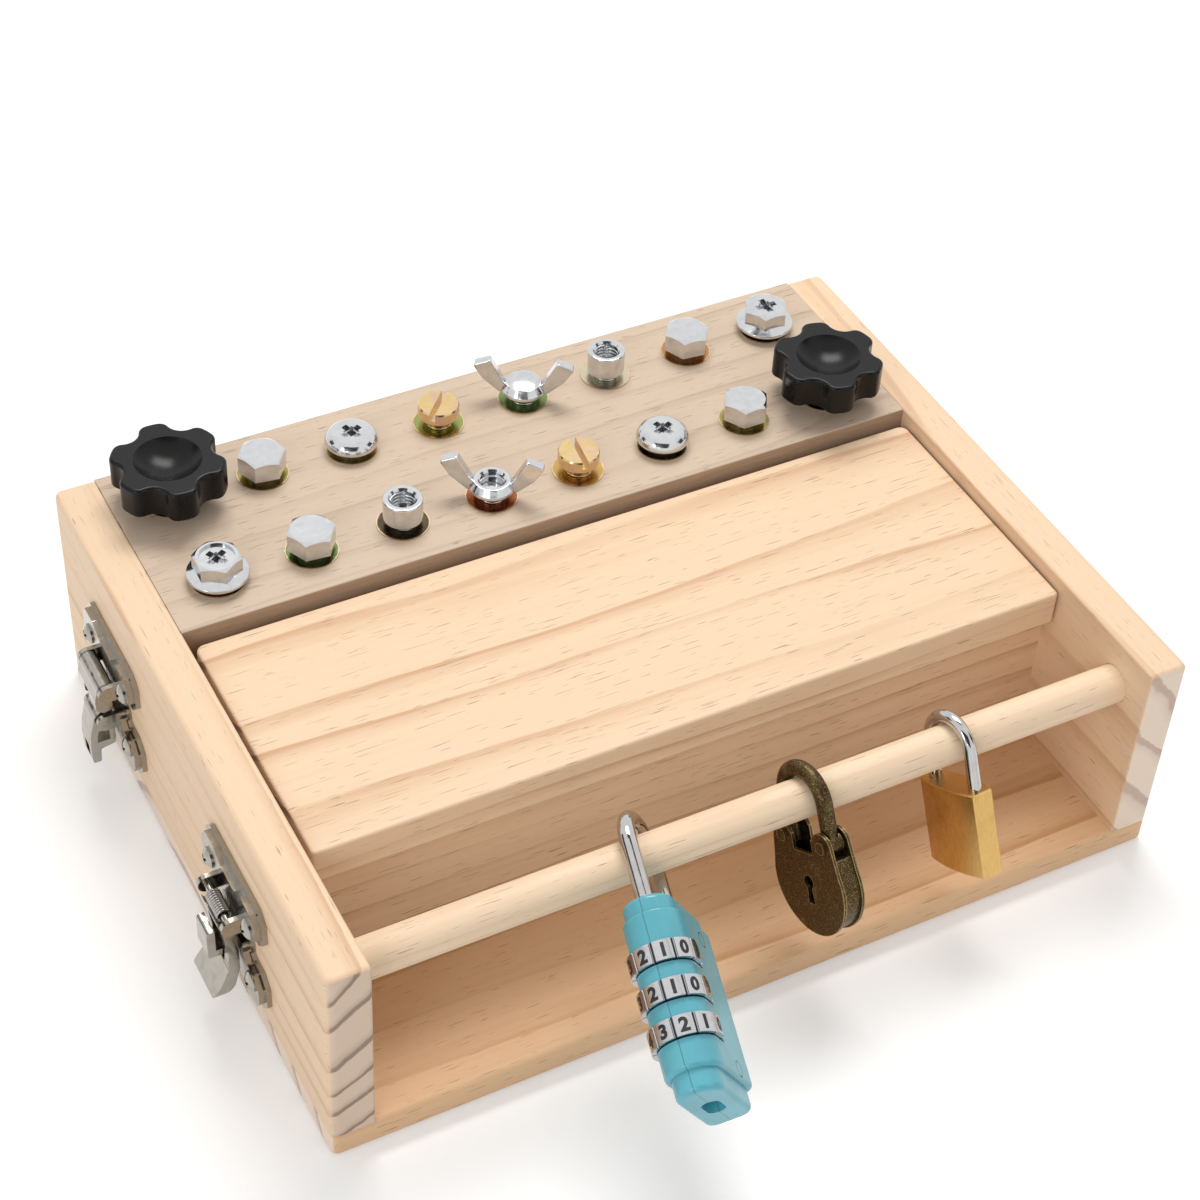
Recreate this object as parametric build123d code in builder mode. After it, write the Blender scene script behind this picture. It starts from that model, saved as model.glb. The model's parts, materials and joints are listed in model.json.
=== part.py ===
from build123d import *
from math import cos, radians, sin, sqrt
import os

# Wooden busy board: a pine case with a row of turning fasteners on a fixed panel, a storage
# box with a lift-off lid, an open tray crossed by a dowel with three padlocks, and four small
# box latches on the side walls.
#
# Millimetres. +X is to the right, +Y to the back and +Z up. The origin is the centre of the
# base board's underside.

os.makedirs("parts", exist_ok=True)

# ---------------------------------------------------------------- wooden case
board_width = 270.0
board_depth = 208.0
board_height = 75.0
base_thickness = 9.0
wall_thickness = 13.0
corner_round = 2.5
edge_round = 1.8
inner_edge_round = 0.8

tray_depth = 50.0
tray_wall_thickness = 12.0

panel_depth = 74.0
panel_thickness = 12.0
panel_edge_round = 0.6
partition_thickness = 12.0
partition_ledge = 7.0
back_wall_thickness = 12.0

# The lid lies lower than the walls, laps over the tray wall and sits a little to the right.
lid_thickness = 12.0
lid_sink = 4.2
lid_overhang = 5.2
lid_gap_left = 2.4
lid_gap_right = 0.7
lid_gap_back = 2.4
lid_seat_gap = 0.2
lid_back_corner_round = 3.0
lid_front_corner_round = 1.3
lid_edge_round = 0.9

dowel_radius = 5.9
dowel_inset = 14.9
dowel_height = 59.9
dowel_socket_depth = 8.0
dowel_socket_gap = 0.1

# ---------------------------------------------------------------- fasteners
column_count = 8
first_column_margin = 30.7
last_column_margin = 32.8
front_row_margin = 16.7
back_row_margin = 18.9

insert_flange_radius = 8.1
insert_flange_thickness = 0.4
insert_barrel_radius = 5.5
insert_length = 11.0
shank_radius = 4.0
shank_gap = 0.05
shank_reach = 17.0
head_lift = 2.0
shank_end_chamfer = 0.6

hex_across_flats = 13.0
hex_head_height = 6.4
hex_top_radius = 6.2

flange_head_radius = 9.25
flange_edge_height = 1.0
flange_height = 2.4
flange_hex_height = 7.0
flange_dish_radius = 5.4
flange_dish_depth = 0.8
flange_soft_edge = 0.3

pan_seat_radius = 7.5
pan_head_radius = 8.35
pan_top_radius = 5.95
pan_edge_height = 1.1
pan_height = 4.3
pan_edge_bulge = 0.25
pan_side_bulge = 0.5

cheese_head_radius = 6.5
cheese_head_height = 5.6
cheese_top_radius = 6.15
cheese_top_height = 0.5
cheese_neck_radius = 5.0
cheese_neck_height = 0.7
cheese_flare_height = 1.1
slot_width = 1.9
slot_depth = 2.5

barrel_front_radius = 6.1
barrel_back_radius = 5.95
barrel_height = 7.7
barrel_soft_edge = 0.5
socket_radius = 3.8
socket_mouth = 0.65
barrel_socket_depth = 6.2

cross_length = 7.0
cross_width = 2.1
cross_depth = 1.4
cross_core_length = 3.6
cross_core_depth = 2.8

wing_hub_foot_radius = 5.6
wing_hub_radius = 6.9
wing_hub_low_height = 1.5
wing_hub_high_height = 2.4
wing_hub_top_radius = 5.6
wing_hub_height = 4.6
wing_hub_soft_edge = 0.4
wing_hub_crown = 1.1
wing_socket_depth = 3.4
wing_root = 3.0
wing_root_low = 0.8
wing_root_high = 3.2
wing_outer_edge = ((7.6, 0.9), (12.9, 5.7), (16.1, 11.0))
wing_inner_edge = ((10.6, 13.2), (8.0, 8.4), (5.6, 3.6))
wing_tip_round = 0.9
wing_thickness = 3.2
wing_soft_edge = 0.5

knob_radius = 17.4
knob_height = 10.3
knob_lobes = 6
knob_valley_radius = 5.0
knob_valley_distance = 18.9
knob_lobe_round = 3.2
knob_edge_round = 1.1
knob_foot_round = 0.8
knob_bowl_radius = 10.3
knob_bowl_depth = 4.4
knob_hub_radius = 8.0
knob_hub_height = 3.8

# ---------------------------------------------------------------- latches
front_latch_place = 61.0
rear_latch_from_back = 49.3
latch_plate_thickness = 3.3
latch_rim_thickness = 1.5
latch_half_width = 20.5
latch_top = 57.0
latch_wing_height = 14.5
latch_middle = 36.25
latch_middle_gap = 1.5
latch_neck_half_width = 10.0
latch_bevel = 1.3
latch_waist = 2.6
latch_waist_half_width = 5.0
latch_corner_cut = 3.6
latch_screw_place = 14.0
latch_screw_rise = 5.0
latch_screw_radius = 1.5
latch_screw_length = 9.0
latch_screw_head_radius = 3.2
latch_screw_head_height = 1.8
latch_screw_rim_height = 0.45
latch_screw_slot_length = 3.2
latch_screw_slot_width = 0.8
latch_screw_slot_depth = 0.9
latch_screw_turn = 35
latch_screw_gap = 0.1

latch_pin_radius = 1.1
latch_pin_gap = 0.05
latch_pin_drop = 13.0
latch_knuckle_radius = 2.8
latch_knuckle_gap = 0.3
latch_lever_half_width = 7.7
latch_ear_gap = 0.3
latch_ear_thickness = 1.6
latch_knuckle_width = 2.2

# The lever's outline from its pin, as distances out from the wall and up.
latch_lever_length = 32.0
latch_lever_back = ((-1.9, -3.0), (-1.9, -6.1), (-2.3, -14.1), (-2.3, -19.8), (-0.6, -26.6), (3.1, -31.4))
latch_lever_lip = ((5.4, -latch_lever_length), (6.3, -29.4))
latch_lever_front = ((3.4, -25.3), (1.2, -19.8), (0.7, -13.1), (1.7, -6.1), (2.2, -3.0))
latch_lever_round = 0.7
latch_lip_round = 4.6
latch_cheek_width = 3.8
latch_cheek_height = 3.9
latch_window_half_width = 4.6
latch_window_top = 5.7
latch_window_bottom = 18.5
latch_spring_radius = 2.3
latch_spring_wire = 0.45

latch_hook_half_width = 3.9
latch_hook_thickness = 2.4
latch_hook_tip_drop = 5.8
latch_hook_arm_drop = 16.4
latch_hook_clearance = 3.0
latch_hook_round = 1.0

rear_lever_half_width = 4.2
rear_lever_roll_radius = 3.4
rear_lever_pin_drop = 28.0
rear_lever_back = ((-2.7, -10.9), (-3.0, -8.5), (-3.0, 0))
rear_lever_front = ((3.4, 0), (4.6, -5.1), (5.0, -10.2), (4.7, -17.0), (2.2, -17.0), (1.9, -11.9))
rear_lever_ring = ((-1.2, -4.2), (2.1, -4.2), (2.7, -6.8), (2.7, -8.8), (-1.2, -8.8))
rear_lever_round = 0.6
rear_lever_groove_width = 3.8
rear_lever_groove_height = 4.8
rear_lever_groove_drop = 13.3
rear_lever_groove_out = 3.9
rear_flap_outline = ((-1.5, 0), (2.8, 0), (3.6, -3.0), (3.5, -6.8), (1.4, -8.5), (-1.5, -8.1))
rear_flap_round = 0.9
rear_flap_slot_width = 3.9
rear_flap_slot_drop = 3.4

# ---------------------------------------------------------------- padlocks
lock_bow_gap = 0.3
number_bow_gap = 2.5

brass_place = 199.6
brass_lean = 27.0
brass_twist = 7.0
brass_width = 24.0
brass_height = 26.4
brass_thickness = 10.4
brass_side_thickness = 7.0
brass_drop = 12.4
brass_leg_spacing = 17.4
brass_rod_radius = 2.0
brass_long_leg = 16.0
brass_short_leg = 6.0
brass_edge = 0.45
brass_plug_radius = 4.0
brass_plug_length = 12.0
brass_keyway_width = 1.2
brass_keyway_height = 5.6
brass_keyway_depth = 9.6

bronze_place = 151.0
bronze_lean = 29.0
bronze_twist = 8.0
bronze_round_radius = 15.5
bronze_round_drop = 25.8
bronze_ear_radius = 4.3
bronze_ear_drop = 12.3
bronze_leg_spacing = 17.8
bronze_rod_radius = 2.4
bronze_free_leg = 2.6
bronze_eye_radius = 2.9
bronze_eye_thickness = 4.6
bronze_notch_half_width = 4.4
bronze_notch_drop = 15.6
bronze_plate_thickness = 1.0
bronze_plate_gap = 5.4
bronze_band_inset = 0.7
bronze_band_thickness = 1.8
bronze_band_top = 16.0
bronze_rivet_radius = 1.2
bronze_rivet_head = 1.9
bronze_rivet_head_height = 0.6
bronze_key_radius = 2.1
bronze_key_drop = 25.0
bronze_key_length = 6.6
bronze_key_foot_width = 3.2
bronze_key_slope = 82

number_place = 99.5
number_lean = 56.0
number_twist = -33.0
number_roll = 22.0
number_width = 34.6
number_height = 56.0
number_thickness = 16.4
number_lowering = 17.4
number_leg_spacing = 20.4
number_rod_radius = 2.5
number_long_leg = 34.0
number_short_leg = 8.0
number_corner_round = 3.6
number_collar_height = 5.0
number_collar_inset = 1.1
number_foot_height = 6.0
number_foot_inset = 1.5
number_edge_round = 1.6
number_step_round = 0.8
number_foot_round = 1.3
number_shoulder = 5.5
number_shoulder_length = 16.0
number_reset_length = 9.8
number_reset_width = 5.2
number_reset_depth = 3.0
leg_hole_overrun = 1.0
dial_radius = 9.7
dial_height = 5.6
dial_gap = 0.3
dial_count = 3
dial_pitch = 10.6
dial_first_drop = 17.5
dial_stand_out = 1.3
dial_digits = 10
dial_groove_radius = 0.5
spindle_radius = 2.5
spindle_gap = 0.05
spindle_drop = 10.0
spindle_length = 35.0
lock_rivet_radius = 1.4
lock_rivet_head = 2.1
lock_rivet_recess = 0.5
lock_rivet_place = 5.0
lock_rivet_first = 9.6
lock_rivet_second = 47.0
leg_gap = 0.05

# ---------------------------------------------------------------- worked-out places
half_width = board_width / 2
half_depth = board_depth / 2
inner_half_width = half_width - wall_thickness
panel_top = board_height
disc_top = panel_top + insert_flange_thickness
head_base = disc_top + head_lift
tray_wall_front = tray_depth - half_depth
panel_front = half_depth - panel_depth
lid_bottom = board_height - lid_sink - lid_thickness
ledge_height = lid_bottom - lid_seat_gap
dowel_y = dowel_inset - half_depth
latch_pin_out = latch_plate_thickness + latch_knuckle_gap + latch_knuckle_radius
latch_pin_height = latch_top - latch_pin_drop
latch_ear_place = latch_lever_half_width + latch_ear_gap
rear_lever_out = latch_plate_thickness + latch_knuckle_gap + rear_lever_roll_radius
rear_lever_height = latch_top - rear_lever_pin_drop
rear_ear_place = rear_lever_half_width + latch_ear_gap
latch_wing_low = latch_top - latch_wing_height
latch_neck_low = latch_middle + latch_middle_gap / 2
latch_places = (front_latch_place - half_depth, half_depth - rear_latch_from_back)
upper_screw_row = latch_wing_low + latch_screw_rise
lower_screw_row = 2 * latch_middle - upper_screw_row
sides = (("left", -1), ("right", 1))


def save(piece, name):
    """Label a finished piece and write its STEP file."""
    piece.part.label = name
    export_step(piece.part, f"parts/{name}.step")


# ---------------------------------------------------------------- case pieces
with BuildPart() as base_board:
    with BuildSketch():
        RectangleRounded(board_width, board_depth, corner_round)
    extrude(amount=base_thickness)
    fillet(base_board.faces().sort_by(Axis.Z)[0].edges(), edge_round)
    front_edges = base_board.edges().filter_by(Axis.X).group_by(Axis.Y)[0]
    fillet(front_edges.sort_by(Axis.Z)[-1], edge_round)
save(base_board, "base_board")

for side_name, side in sides:
    with BuildPart() as wall:
        with BuildSketch(Plane.XY.offset(base_thickness)):
            with Locations((side * (half_width - wall_thickness / 2), 0)):
                Rectangle(wall_thickness, board_depth)
        extrude(amount=board_height - base_thickness)
        outer_corners = wall.edges().filter_by(Axis.Z).sort_by(Axis.X, reverse=side > 0)[0:2]
        fillet(outer_corners, corner_round)
        top_edges = wall.faces().sort_by(Axis.Z)[-1].edges()
        inner_edge = top_edges.sort_by(Axis.X, reverse=side > 0)[-1]
        fillet(top_edges - [inner_edge], edge_round)
        top_run = wall.edges().filter_by(Axis.Y).group_by(Axis.Z)[-1]
        fillet(top_run.sort_by(Axis.X, reverse=side > 0)[-1], inner_edge_round)
        with BuildSketch(Plane.YZ.offset(side * inner_half_width)):
            with Locations((dowel_y, dowel_height)):
                Circle(dowel_radius + dowel_socket_gap)
        extrude(amount=side * dowel_socket_depth, mode=Mode.SUBTRACT)
        with BuildSketch(Plane.YZ.offset(side * half_width)):
            for latch_y in latch_places:
                with Locations((latch_y, upper_screw_row), (latch_y, lower_screw_row)):
                    with GridLocations(2 * latch_screw_place, 0, 2, 1):
                        Circle(latch_screw_radius + latch_screw_gap)
        extrude(amount=-side * (latch_screw_length + latch_screw_gap), mode=Mode.SUBTRACT)
    save(wall, f"{side_name}_wall")


def board_across(front, thickness, low, high):
    """A plain board that runs between the two side walls."""
    with BuildPart() as board:
        with BuildSketch(Plane.XY.offset(low)):
            with Locations((0, front + thickness / 2)):
                Rectangle(2 * inner_half_width, thickness)
        extrude(amount=high - low)
    return board


tray_wall = board_across(tray_wall_front, tray_wall_thickness, base_thickness, ledge_height)
save(tray_wall, "tray_wall")

panel_low = panel_top - panel_thickness
back_wall_front = half_depth - back_wall_thickness
back_wall = board_across(back_wall_front, back_wall_thickness, base_thickness, panel_low)
save(back_wall, "back_wall")

# The partition carries the panel's front edge, and its rebate carries the lid's back edge.
with BuildPart() as panel_partition:
    partition_front = panel_front - partition_ledge
    with BuildSketch(Plane.YZ) as partition_section:
        with BuildLine():
            Polyline(
                (partition_front, base_thickness),
                (partition_front + partition_thickness, base_thickness),
                (partition_front + partition_thickness, panel_low),
                (panel_front, panel_low),
                (panel_front, ledge_height),
                (partition_front, ledge_height),
                close=True,
            )
        make_face()
    extrude(amount=inner_half_width, both=True)
save(panel_partition, "panel_partition")

column_pitch = (board_width - first_column_margin - last_column_margin) / (column_count - 1)
column_places = [first_column_margin - half_width + column_pitch * i for i in range(column_count)]
front_y = panel_front + front_row_margin
back_y = half_depth - back_row_margin
insert_places = [(x, y) for x in column_places for y in (front_y, back_y)]

with BuildPart() as screw_panel:
    with BuildSketch(Plane.XY.offset(panel_low)):
        with Locations((0, panel_front + panel_depth / 2)):
            Rectangle(2 * inner_half_width, panel_depth)
    extrude(amount=panel_thickness)
    fillet(screw_panel.edges().filter_by(Axis.X).group_by(Axis.Z)[-1], panel_edge_round)
    with BuildSketch(Plane.XY.offset(panel_top)):
        with Locations(*insert_places):
            Circle(insert_barrel_radius)
    extrude(amount=-panel_thickness, mode=Mode.SUBTRACT)
save(screw_panel, "screw_panel")

with BuildPart() as storage_lid:
    lid_left = lid_gap_left - inner_half_width
    lid_right = inner_half_width - lid_gap_right
    lid_front = tray_wall_front - lid_overhang
    lid_back = panel_front - lid_gap_back
    with BuildSketch(Plane.XY.offset(lid_bottom)):
        with Locations(((lid_left + lid_right) / 2, (lid_front + lid_back) / 2)):
            Rectangle(lid_right - lid_left, lid_back - lid_front)
    extrude(amount=lid_thickness)
    upright_edges = storage_lid.edges().filter_by(Axis.Z).group_by(Axis.Y)
    fillet(upright_edges[0], lid_front_corner_round)
    fillet(upright_edges[-1], lid_back_corner_round)
    fillet(storage_lid.faces().sort_by(Axis.Z)[-1].edges(), lid_edge_round)
    fillet(storage_lid.faces().sort_by(Axis.Z)[0].edges(), lid_edge_round)
save(storage_lid, "storage_lid")

with BuildPart() as dowel:
    with BuildSketch(Plane.YZ):
        with Locations((dowel_y, dowel_height)):
            Circle(dowel_radius)
    extrude(amount=inner_half_width + dowel_socket_depth, both=True)
save(dowel, "dowel")


# ---------------------------------------------------------------- fasteners on the panel
def upright(x, y):
    """The vertical plane through a fastener's axis, for turned profiles."""
    return Plane(origin=(x, y, 0), x_dir=(1, 0, 0), z_dir=(0, -1, 0))


def axis_at(x, y):
    return Axis((x, y, 0), (0, 0, 1))


def turned(x, y, outline, mode=Mode.ADD, soft_edge=0.0, crown=0.0):
    """Revolve an outline of (radius, height) points about a fastener's axis.

    The outline runs from the axis at the bottom to the rim at the top. Its top is flat, or
    domed by the crown's height, and its corners can be rounded.
    """
    rim, top = outline[-1]
    with BuildSketch(upright(x, y)) as profile:
        with BuildLine():
            Polyline(*outline)
            if crown > 0:
                TangentArc((0, top + crown), (rim, top), tangent=(1, 0))
            else:
                Line((0, top), (rim, top))
            Line((0, top + crown), outline[0])
        make_face()
        if soft_edge > 0:
            fillet(profile.vertices().filter_by(lambda corner: corner.X > soft_edge), soft_edge)
    revolve(profile.sketch, axis=axis_at(x, y), mode=mode)


def add_shank(x, y, top):
    """The threaded shank, from under the panel up to the head."""
    low = disc_top - shank_reach
    end_radius = shank_radius - shank_end_chamfer
    turned(x, y, [(0, low), (end_radius, low), (shank_radius, low + shank_end_chamfer), (shank_radius, top)])


def head_plane(x, y, height, turn):
    return Plane(origin=(x, y, height), x_dir=(cos(radians(turn)), sin(radians(turn)), 0))


def cut_cross(x, y, top, turn):
    """A screwdriver's cross recess, deeper in its middle."""
    with BuildSketch(head_plane(x, y, top, turn)) as cross:
        Rectangle(cross_length, cross_width)
        Rectangle(cross_width, cross_length)
    extrude(cross.sketch, amount=-cross_depth, mode=Mode.SUBTRACT)
    with BuildSketch(head_plane(x, y, top, turn)) as core:
        Rectangle(cross_core_length, cross_core_length)
    extrude(core.sketch, amount=-cross_core_depth, mode=Mode.SUBTRACT)


def add_hexagon(x, y, low, height, turn):
    """A hexagonal prism whose top corners are turned off at thirty degrees."""
    corner = hex_across_flats / sqrt(3)
    drop = (corner - hex_top_radius) / sqrt(3)
    with BuildSketch(head_plane(x, y, low, turn)) as hexagon:
        RegularPolygon(hex_across_flats / 2, 6, major_radius=False)
    with BuildPart(mode=Mode.PRIVATE) as prism:
        extrude(hexagon.sketch, amount=height)
        top = low + height
        outline = [(0, low), (corner, low), (corner, top - drop), (hex_top_radius, top)]
        turned(x, y, outline, mode=Mode.INTERSECT)
    add(prism.part)


def hex_bolt(x, y, turn):
    with BuildPart() as bolt:
        add_shank(x, y, head_base)
        add_hexagon(x, y, head_base, hex_head_height, turn)
    return bolt


def flange_bolt(x, y, turn, dished):
    edge_top = head_base + flange_edge_height
    flange_top = head_base + flange_height
    head_top = head_base + flange_hex_height
    hex_radius = hex_across_flats / 2
    with BuildPart() as bolt:
        add_shank(x, y, head_base)
        outline = [(0, head_base), (flange_head_radius, head_base), (flange_head_radius, edge_top)]
        turned(x, y, [*outline, (hex_radius, flange_top)], soft_edge=flange_soft_edge)
        add_hexagon(x, y, head_base, flange_hex_height, turn)
        if dished:
            dish_low = head_top - flange_dish_depth
            rim = flange_dish_radius
            turned(x, y, [(0, dish_low), (rim, dish_low), (rim, head_top)], mode=Mode.SUBTRACT)
            cut_cross(x, y, dish_low, turn)
        else:
            cut_cross(x, y, head_top, turn)
    return bolt


def pan_screw(x, y, turn):
    """A low head with a rounded side below a flat top with a cross."""
    edge_top = head_base + pan_edge_height
    head_top = head_base + pan_height
    with BuildPart() as screw:
        add_shank(x, y, head_base)
        with BuildSketch(upright(x, y)) as profile:
            with BuildLine():
                Polyline(
                    (pan_top_radius, head_top),
                    (0, head_top),
                    (0, head_base),
                    (pan_seat_radius, head_base),
                )
                SagittaArc((pan_seat_radius, head_base), (pan_head_radius, edge_top), -pan_edge_bulge)
                SagittaArc((pan_head_radius, edge_top), (pan_top_radius, head_top), -pan_side_bulge)
            make_face()
        revolve(profile.sketch, axis=axis_at(x, y))
        cut_cross(x, y, head_top, turn)
    return screw


def slotted_screw(x, y, turn):
    """A drum-shaped head on a narrower neck, with a straight slot."""
    neck_top = head_base + cheese_neck_height
    side_low = neck_top + cheese_flare_height
    head_top = head_base + cheese_head_height
    outline = [
        (0, head_base),
        (cheese_neck_radius, head_base),
        (cheese_neck_radius, neck_top),
        (cheese_head_radius, side_low),
        (cheese_head_radius, head_top - cheese_top_height),
        (cheese_top_radius, head_top),
    ]
    with BuildPart() as screw:
        add_shank(x, y, head_base)
        turned(x, y, outline)
        with BuildSketch(head_plane(x, y, head_top, turn)):
            Rectangle(3 * cheese_head_radius, slot_width)
        extrude(amount=-slot_depth, mode=Mode.SUBTRACT)
    return screw


def barrel_nut(x, y, radius):
    head_top = head_base + barrel_height
    with BuildPart() as barrel:
        add_shank(x, y, head_base)
        outline = [(0, head_base), (radius, head_base), (radius, head_top)]
        turned(x, y, outline, soft_edge=barrel_soft_edge)
        open_socket(x, y, head_top, barrel_socket_depth)
    return barrel


def open_socket(x, y, top, depth):
    """A blind hole with a countersunk mouth."""
    low = top - depth
    outline = [
        (0, low),
        (socket_radius, low),
        (socket_radius, top - socket_mouth),
        (socket_radius + socket_mouth, top),
    ]
    turned(x, y, outline, mode=Mode.SUBTRACT)


def wing_blade(x, y, turn, direction):
    """One flat wing that rises outwards from the hub, with rounded edges."""
    along = (direction * cos(radians(turn)), direction * sin(radians(turn)), 0)
    wing_plane = Plane(origin=(x, y, head_base), x_dir=along, z_dir=(along[1], -along[0], 0))
    with BuildPart() as blade:
        with BuildSketch(wing_plane) as outline:
            with BuildLine():
                root = ((wing_root, wing_root_high), (wing_root, wing_root_low))
                Polyline(*root, *wing_outer_edge, *wing_inner_edge, close=True)
            make_face()
            fillet(outline.vertices().sort_by(Axis.Y)[-2:], wing_tip_round)
        extrude(outline.sketch, amount=wing_thickness / 2, both=True)
        faces = blade.faces().filter_by(Axis((x, y, 0), wing_plane.z_dir))
        fillet(faces.edges(), wing_soft_edge)
    return blade.part


def wing_screw(x, y, turn, is_open):
    """A round hub with two wings, with a threaded socket or a domed top."""
    wings = [wing_blade(x, y, turn, direction) for direction in (-1, 1)]
    hub_top = head_base + wing_hub_height
    outline = [
        (0, head_base),
        (wing_hub_foot_radius, head_base),
        (wing_hub_radius, head_base + wing_hub_low_height),
        (wing_hub_radius, head_base + wing_hub_high_height),
        (wing_hub_top_radius, hub_top),
    ]
    with BuildPart() as screw:
        add_shank(x, y, head_base)
        turned(x, y, outline, soft_edge=wing_hub_soft_edge, crown=0.0 if is_open else wing_hub_crown)
        add(wings)
        if is_open:
            open_socket(x, y, hub_top, wing_socket_depth)
    return screw


def star_knob(x, y, turn):
    """A lobed plastic knob with a dished top, a hub below and its own stud."""
    low = head_base + knob_hub_height
    top = low + knob_height
    bowl_radius = (knob_bowl_radius**2 + knob_bowl_depth**2) / (2 * knob_bowl_depth)
    with BuildPart() as knob:
        with BuildSketch(head_plane(x, y, low, turn)) as lobes:
            Circle(knob_radius)
            with PolarLocations(knob_valley_distance, knob_lobes):
                Circle(knob_valley_radius, mode=Mode.SUBTRACT)
            fillet(lobes.vertices(), knob_lobe_round)
        extrude(amount=knob_height)
        fillet(knob.faces().sort_by(Axis.Z)[-1].edges(), knob_edge_round)
        fillet(knob.faces().sort_by(Axis.Z)[0].edges(), knob_foot_round)
        with Locations((x, y, top - knob_bowl_depth + bowl_radius)):
            Sphere(bowl_radius, mode=Mode.SUBTRACT)
        turned(x, y, [(0, head_base), (knob_hub_radius, head_base), (knob_hub_radius, low + knob_foot_round)])
        add_shank(x, y, head_base)
    return knob


first_x, second_x, third_x, fourth_x, fifth_x, sixth_x, seventh_x, eighth_x = column_places
fasteners = {
    "back_star_knob": star_knob(first_x, back_y, -4),
    "back_hex_bolt_left": hex_bolt(second_x, back_y, 52),
    "back_pan_screw": pan_screw(third_x, back_y, 20),
    "back_slotted_screw": slotted_screw(fourth_x, back_y, 47),
    "back_wing_screw": wing_screw(fifth_x, back_y, -30, is_open=False),
    "back_barrel_nut": barrel_nut(sixth_x, back_y, barrel_back_radius),
    "back_hex_bolt_right": hex_bolt(seventh_x, back_y, -5),
    "back_flange_bolt": flange_bolt(eighth_x, back_y, 0, dished=False),
    "front_flange_bolt": flange_bolt(first_x, front_y, 30, dished=True),
    "front_hex_bolt_left": hex_bolt(second_x, front_y, 55),
    "front_barrel_nut": barrel_nut(third_x, front_y, barrel_front_radius),
    "front_wing_nut": wing_screw(fourth_x, front_y, -32, is_open=True),
    "front_slotted_screw": slotted_screw(fifth_x, front_y, 82),
    "front_pan_screw": pan_screw(sixth_x, front_y, 20),
    "front_hex_bolt_right": hex_bolt(seventh_x, front_y, 0),
    "front_star_knob": star_knob(eighth_x, front_y, -15),
}
for fastener_name, fastener in fasteners.items():
    save(fastener, fastener_name)

with BuildPart() as threaded_inserts:
    with BuildSketch(Plane.XY.offset(panel_top)):
        with Locations(*insert_places):
            Circle(insert_flange_radius)
    extrude(amount=insert_flange_thickness)
    with BuildSketch(Plane.XY.offset(panel_top)):
        with Locations(*insert_places):
            Circle(insert_barrel_radius)
    extrude(amount=-insert_length)
    with BuildSketch(Plane.XY.offset(disc_top)):
        with Locations(*insert_places):
            Circle(shank_radius + shank_gap)
    extrude(amount=-insert_length - insert_flange_thickness, mode=Mode.SUBTRACT)
save(threaded_inserts, "threaded_inserts")


# ---------------------------------------------------------------- latches on the side walls
def face_plane(side, place, out=0.0):
    """A plane on the wall's outer face: x along the wall, y up, z outwards."""
    return Plane(origin=(side * (half_width + out), place, 0), x_dir=(0, side, 0), z_dir=(side, 0, 0))


def profile_plane(side, place):
    """The latch's middle plane: x outwards from the wall, y up."""
    return Plane(origin=(side * half_width, place, 0), x_dir=(side, 0, 0), z_dir=(0, -side, 0))


def plate_layer(plane, half_outline, thickness, flip):
    """Extrude a symmetric outline, turned over for the lower plate."""
    points = [(x, z if flip > 0 else 2 * latch_middle - z) for x, z in half_outline]
    points += [(-x, z) for x, z in reversed(points)]
    with BuildSketch(plane) as layer:
        with BuildLine():
            Polyline(*points, close=True)
        make_face()
        fillet(layer.vertices(), latch_bevel)
    extrude(layer.sketch, amount=thickness)


def add_plate(side, place, flip):
    """A wing-shaped plate: a plain rim against the wall under a waisted raised face."""
    width = latch_half_width
    neck = latch_neck_half_width
    corner = latch_corner_cut
    step = latch_bevel
    rim = [
        (width - corner, latch_top),
        (width, latch_top - corner),
        (width, latch_wing_low + corner),
        (width - corner, latch_wing_low),
        (neck + step, latch_wing_low),
        (neck, latch_wing_low - step),
        (neck, latch_neck_low),
    ]
    face = [
        (latch_waist_half_width, latch_top - step - latch_waist),
        (neck, latch_top - step),
        (width - corner, latch_top - step),
        (width - step, latch_top - corner - step),
        (width - step, latch_wing_low + corner + step),
        (width - corner - step, latch_wing_low + step),
        (neck + step, latch_wing_low + step),
        (neck - step, latch_wing_low - step),
        (neck - step, latch_neck_low + step),
    ]
    plate_layer(face_plane(side, place), rim, latch_rim_thickness, flip)
    raised = latch_plate_thickness - latch_rim_thickness
    plate_layer(face_plane(side, place, latch_rim_thickness), face, raised, flip)
    row = upper_screw_row if flip > 0 else lower_screw_row
    with BuildSketch(face_plane(side, place)) as holes:
        with Locations((-latch_screw_place, row), (latch_screw_place, row)):
            Circle(latch_screw_radius + latch_screw_gap)
    extrude(holes.sketch, amount=latch_plate_thickness, mode=Mode.SUBTRACT)


def add_ears(side, place, out, height, ear_place, radius):
    """Two ears that stand out of a plate and hold a hinge pin."""
    for direction in (-1, 1):
        with BuildSketch(profile_plane(side, place).offset(direction * ear_place)) as ear:
            with Locations((out, height)):
                Circle(radius)
            with Locations((out / 2, height)):
                Rectangle(out, 2 * radius)
            with Locations((out, height)):
                Circle(latch_pin_radius + latch_pin_gap, mode=Mode.SUBTRACT)
        extrude(ear.sketch, amount=direction * latch_ear_thickness)


def upper_plate(side, place):
    with BuildPart() as plate:
        add_plate(side, place, 1)
        add_ears(side, place, latch_pin_out, latch_pin_height, latch_ear_place, latch_knuckle_radius)
    return plate


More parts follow.
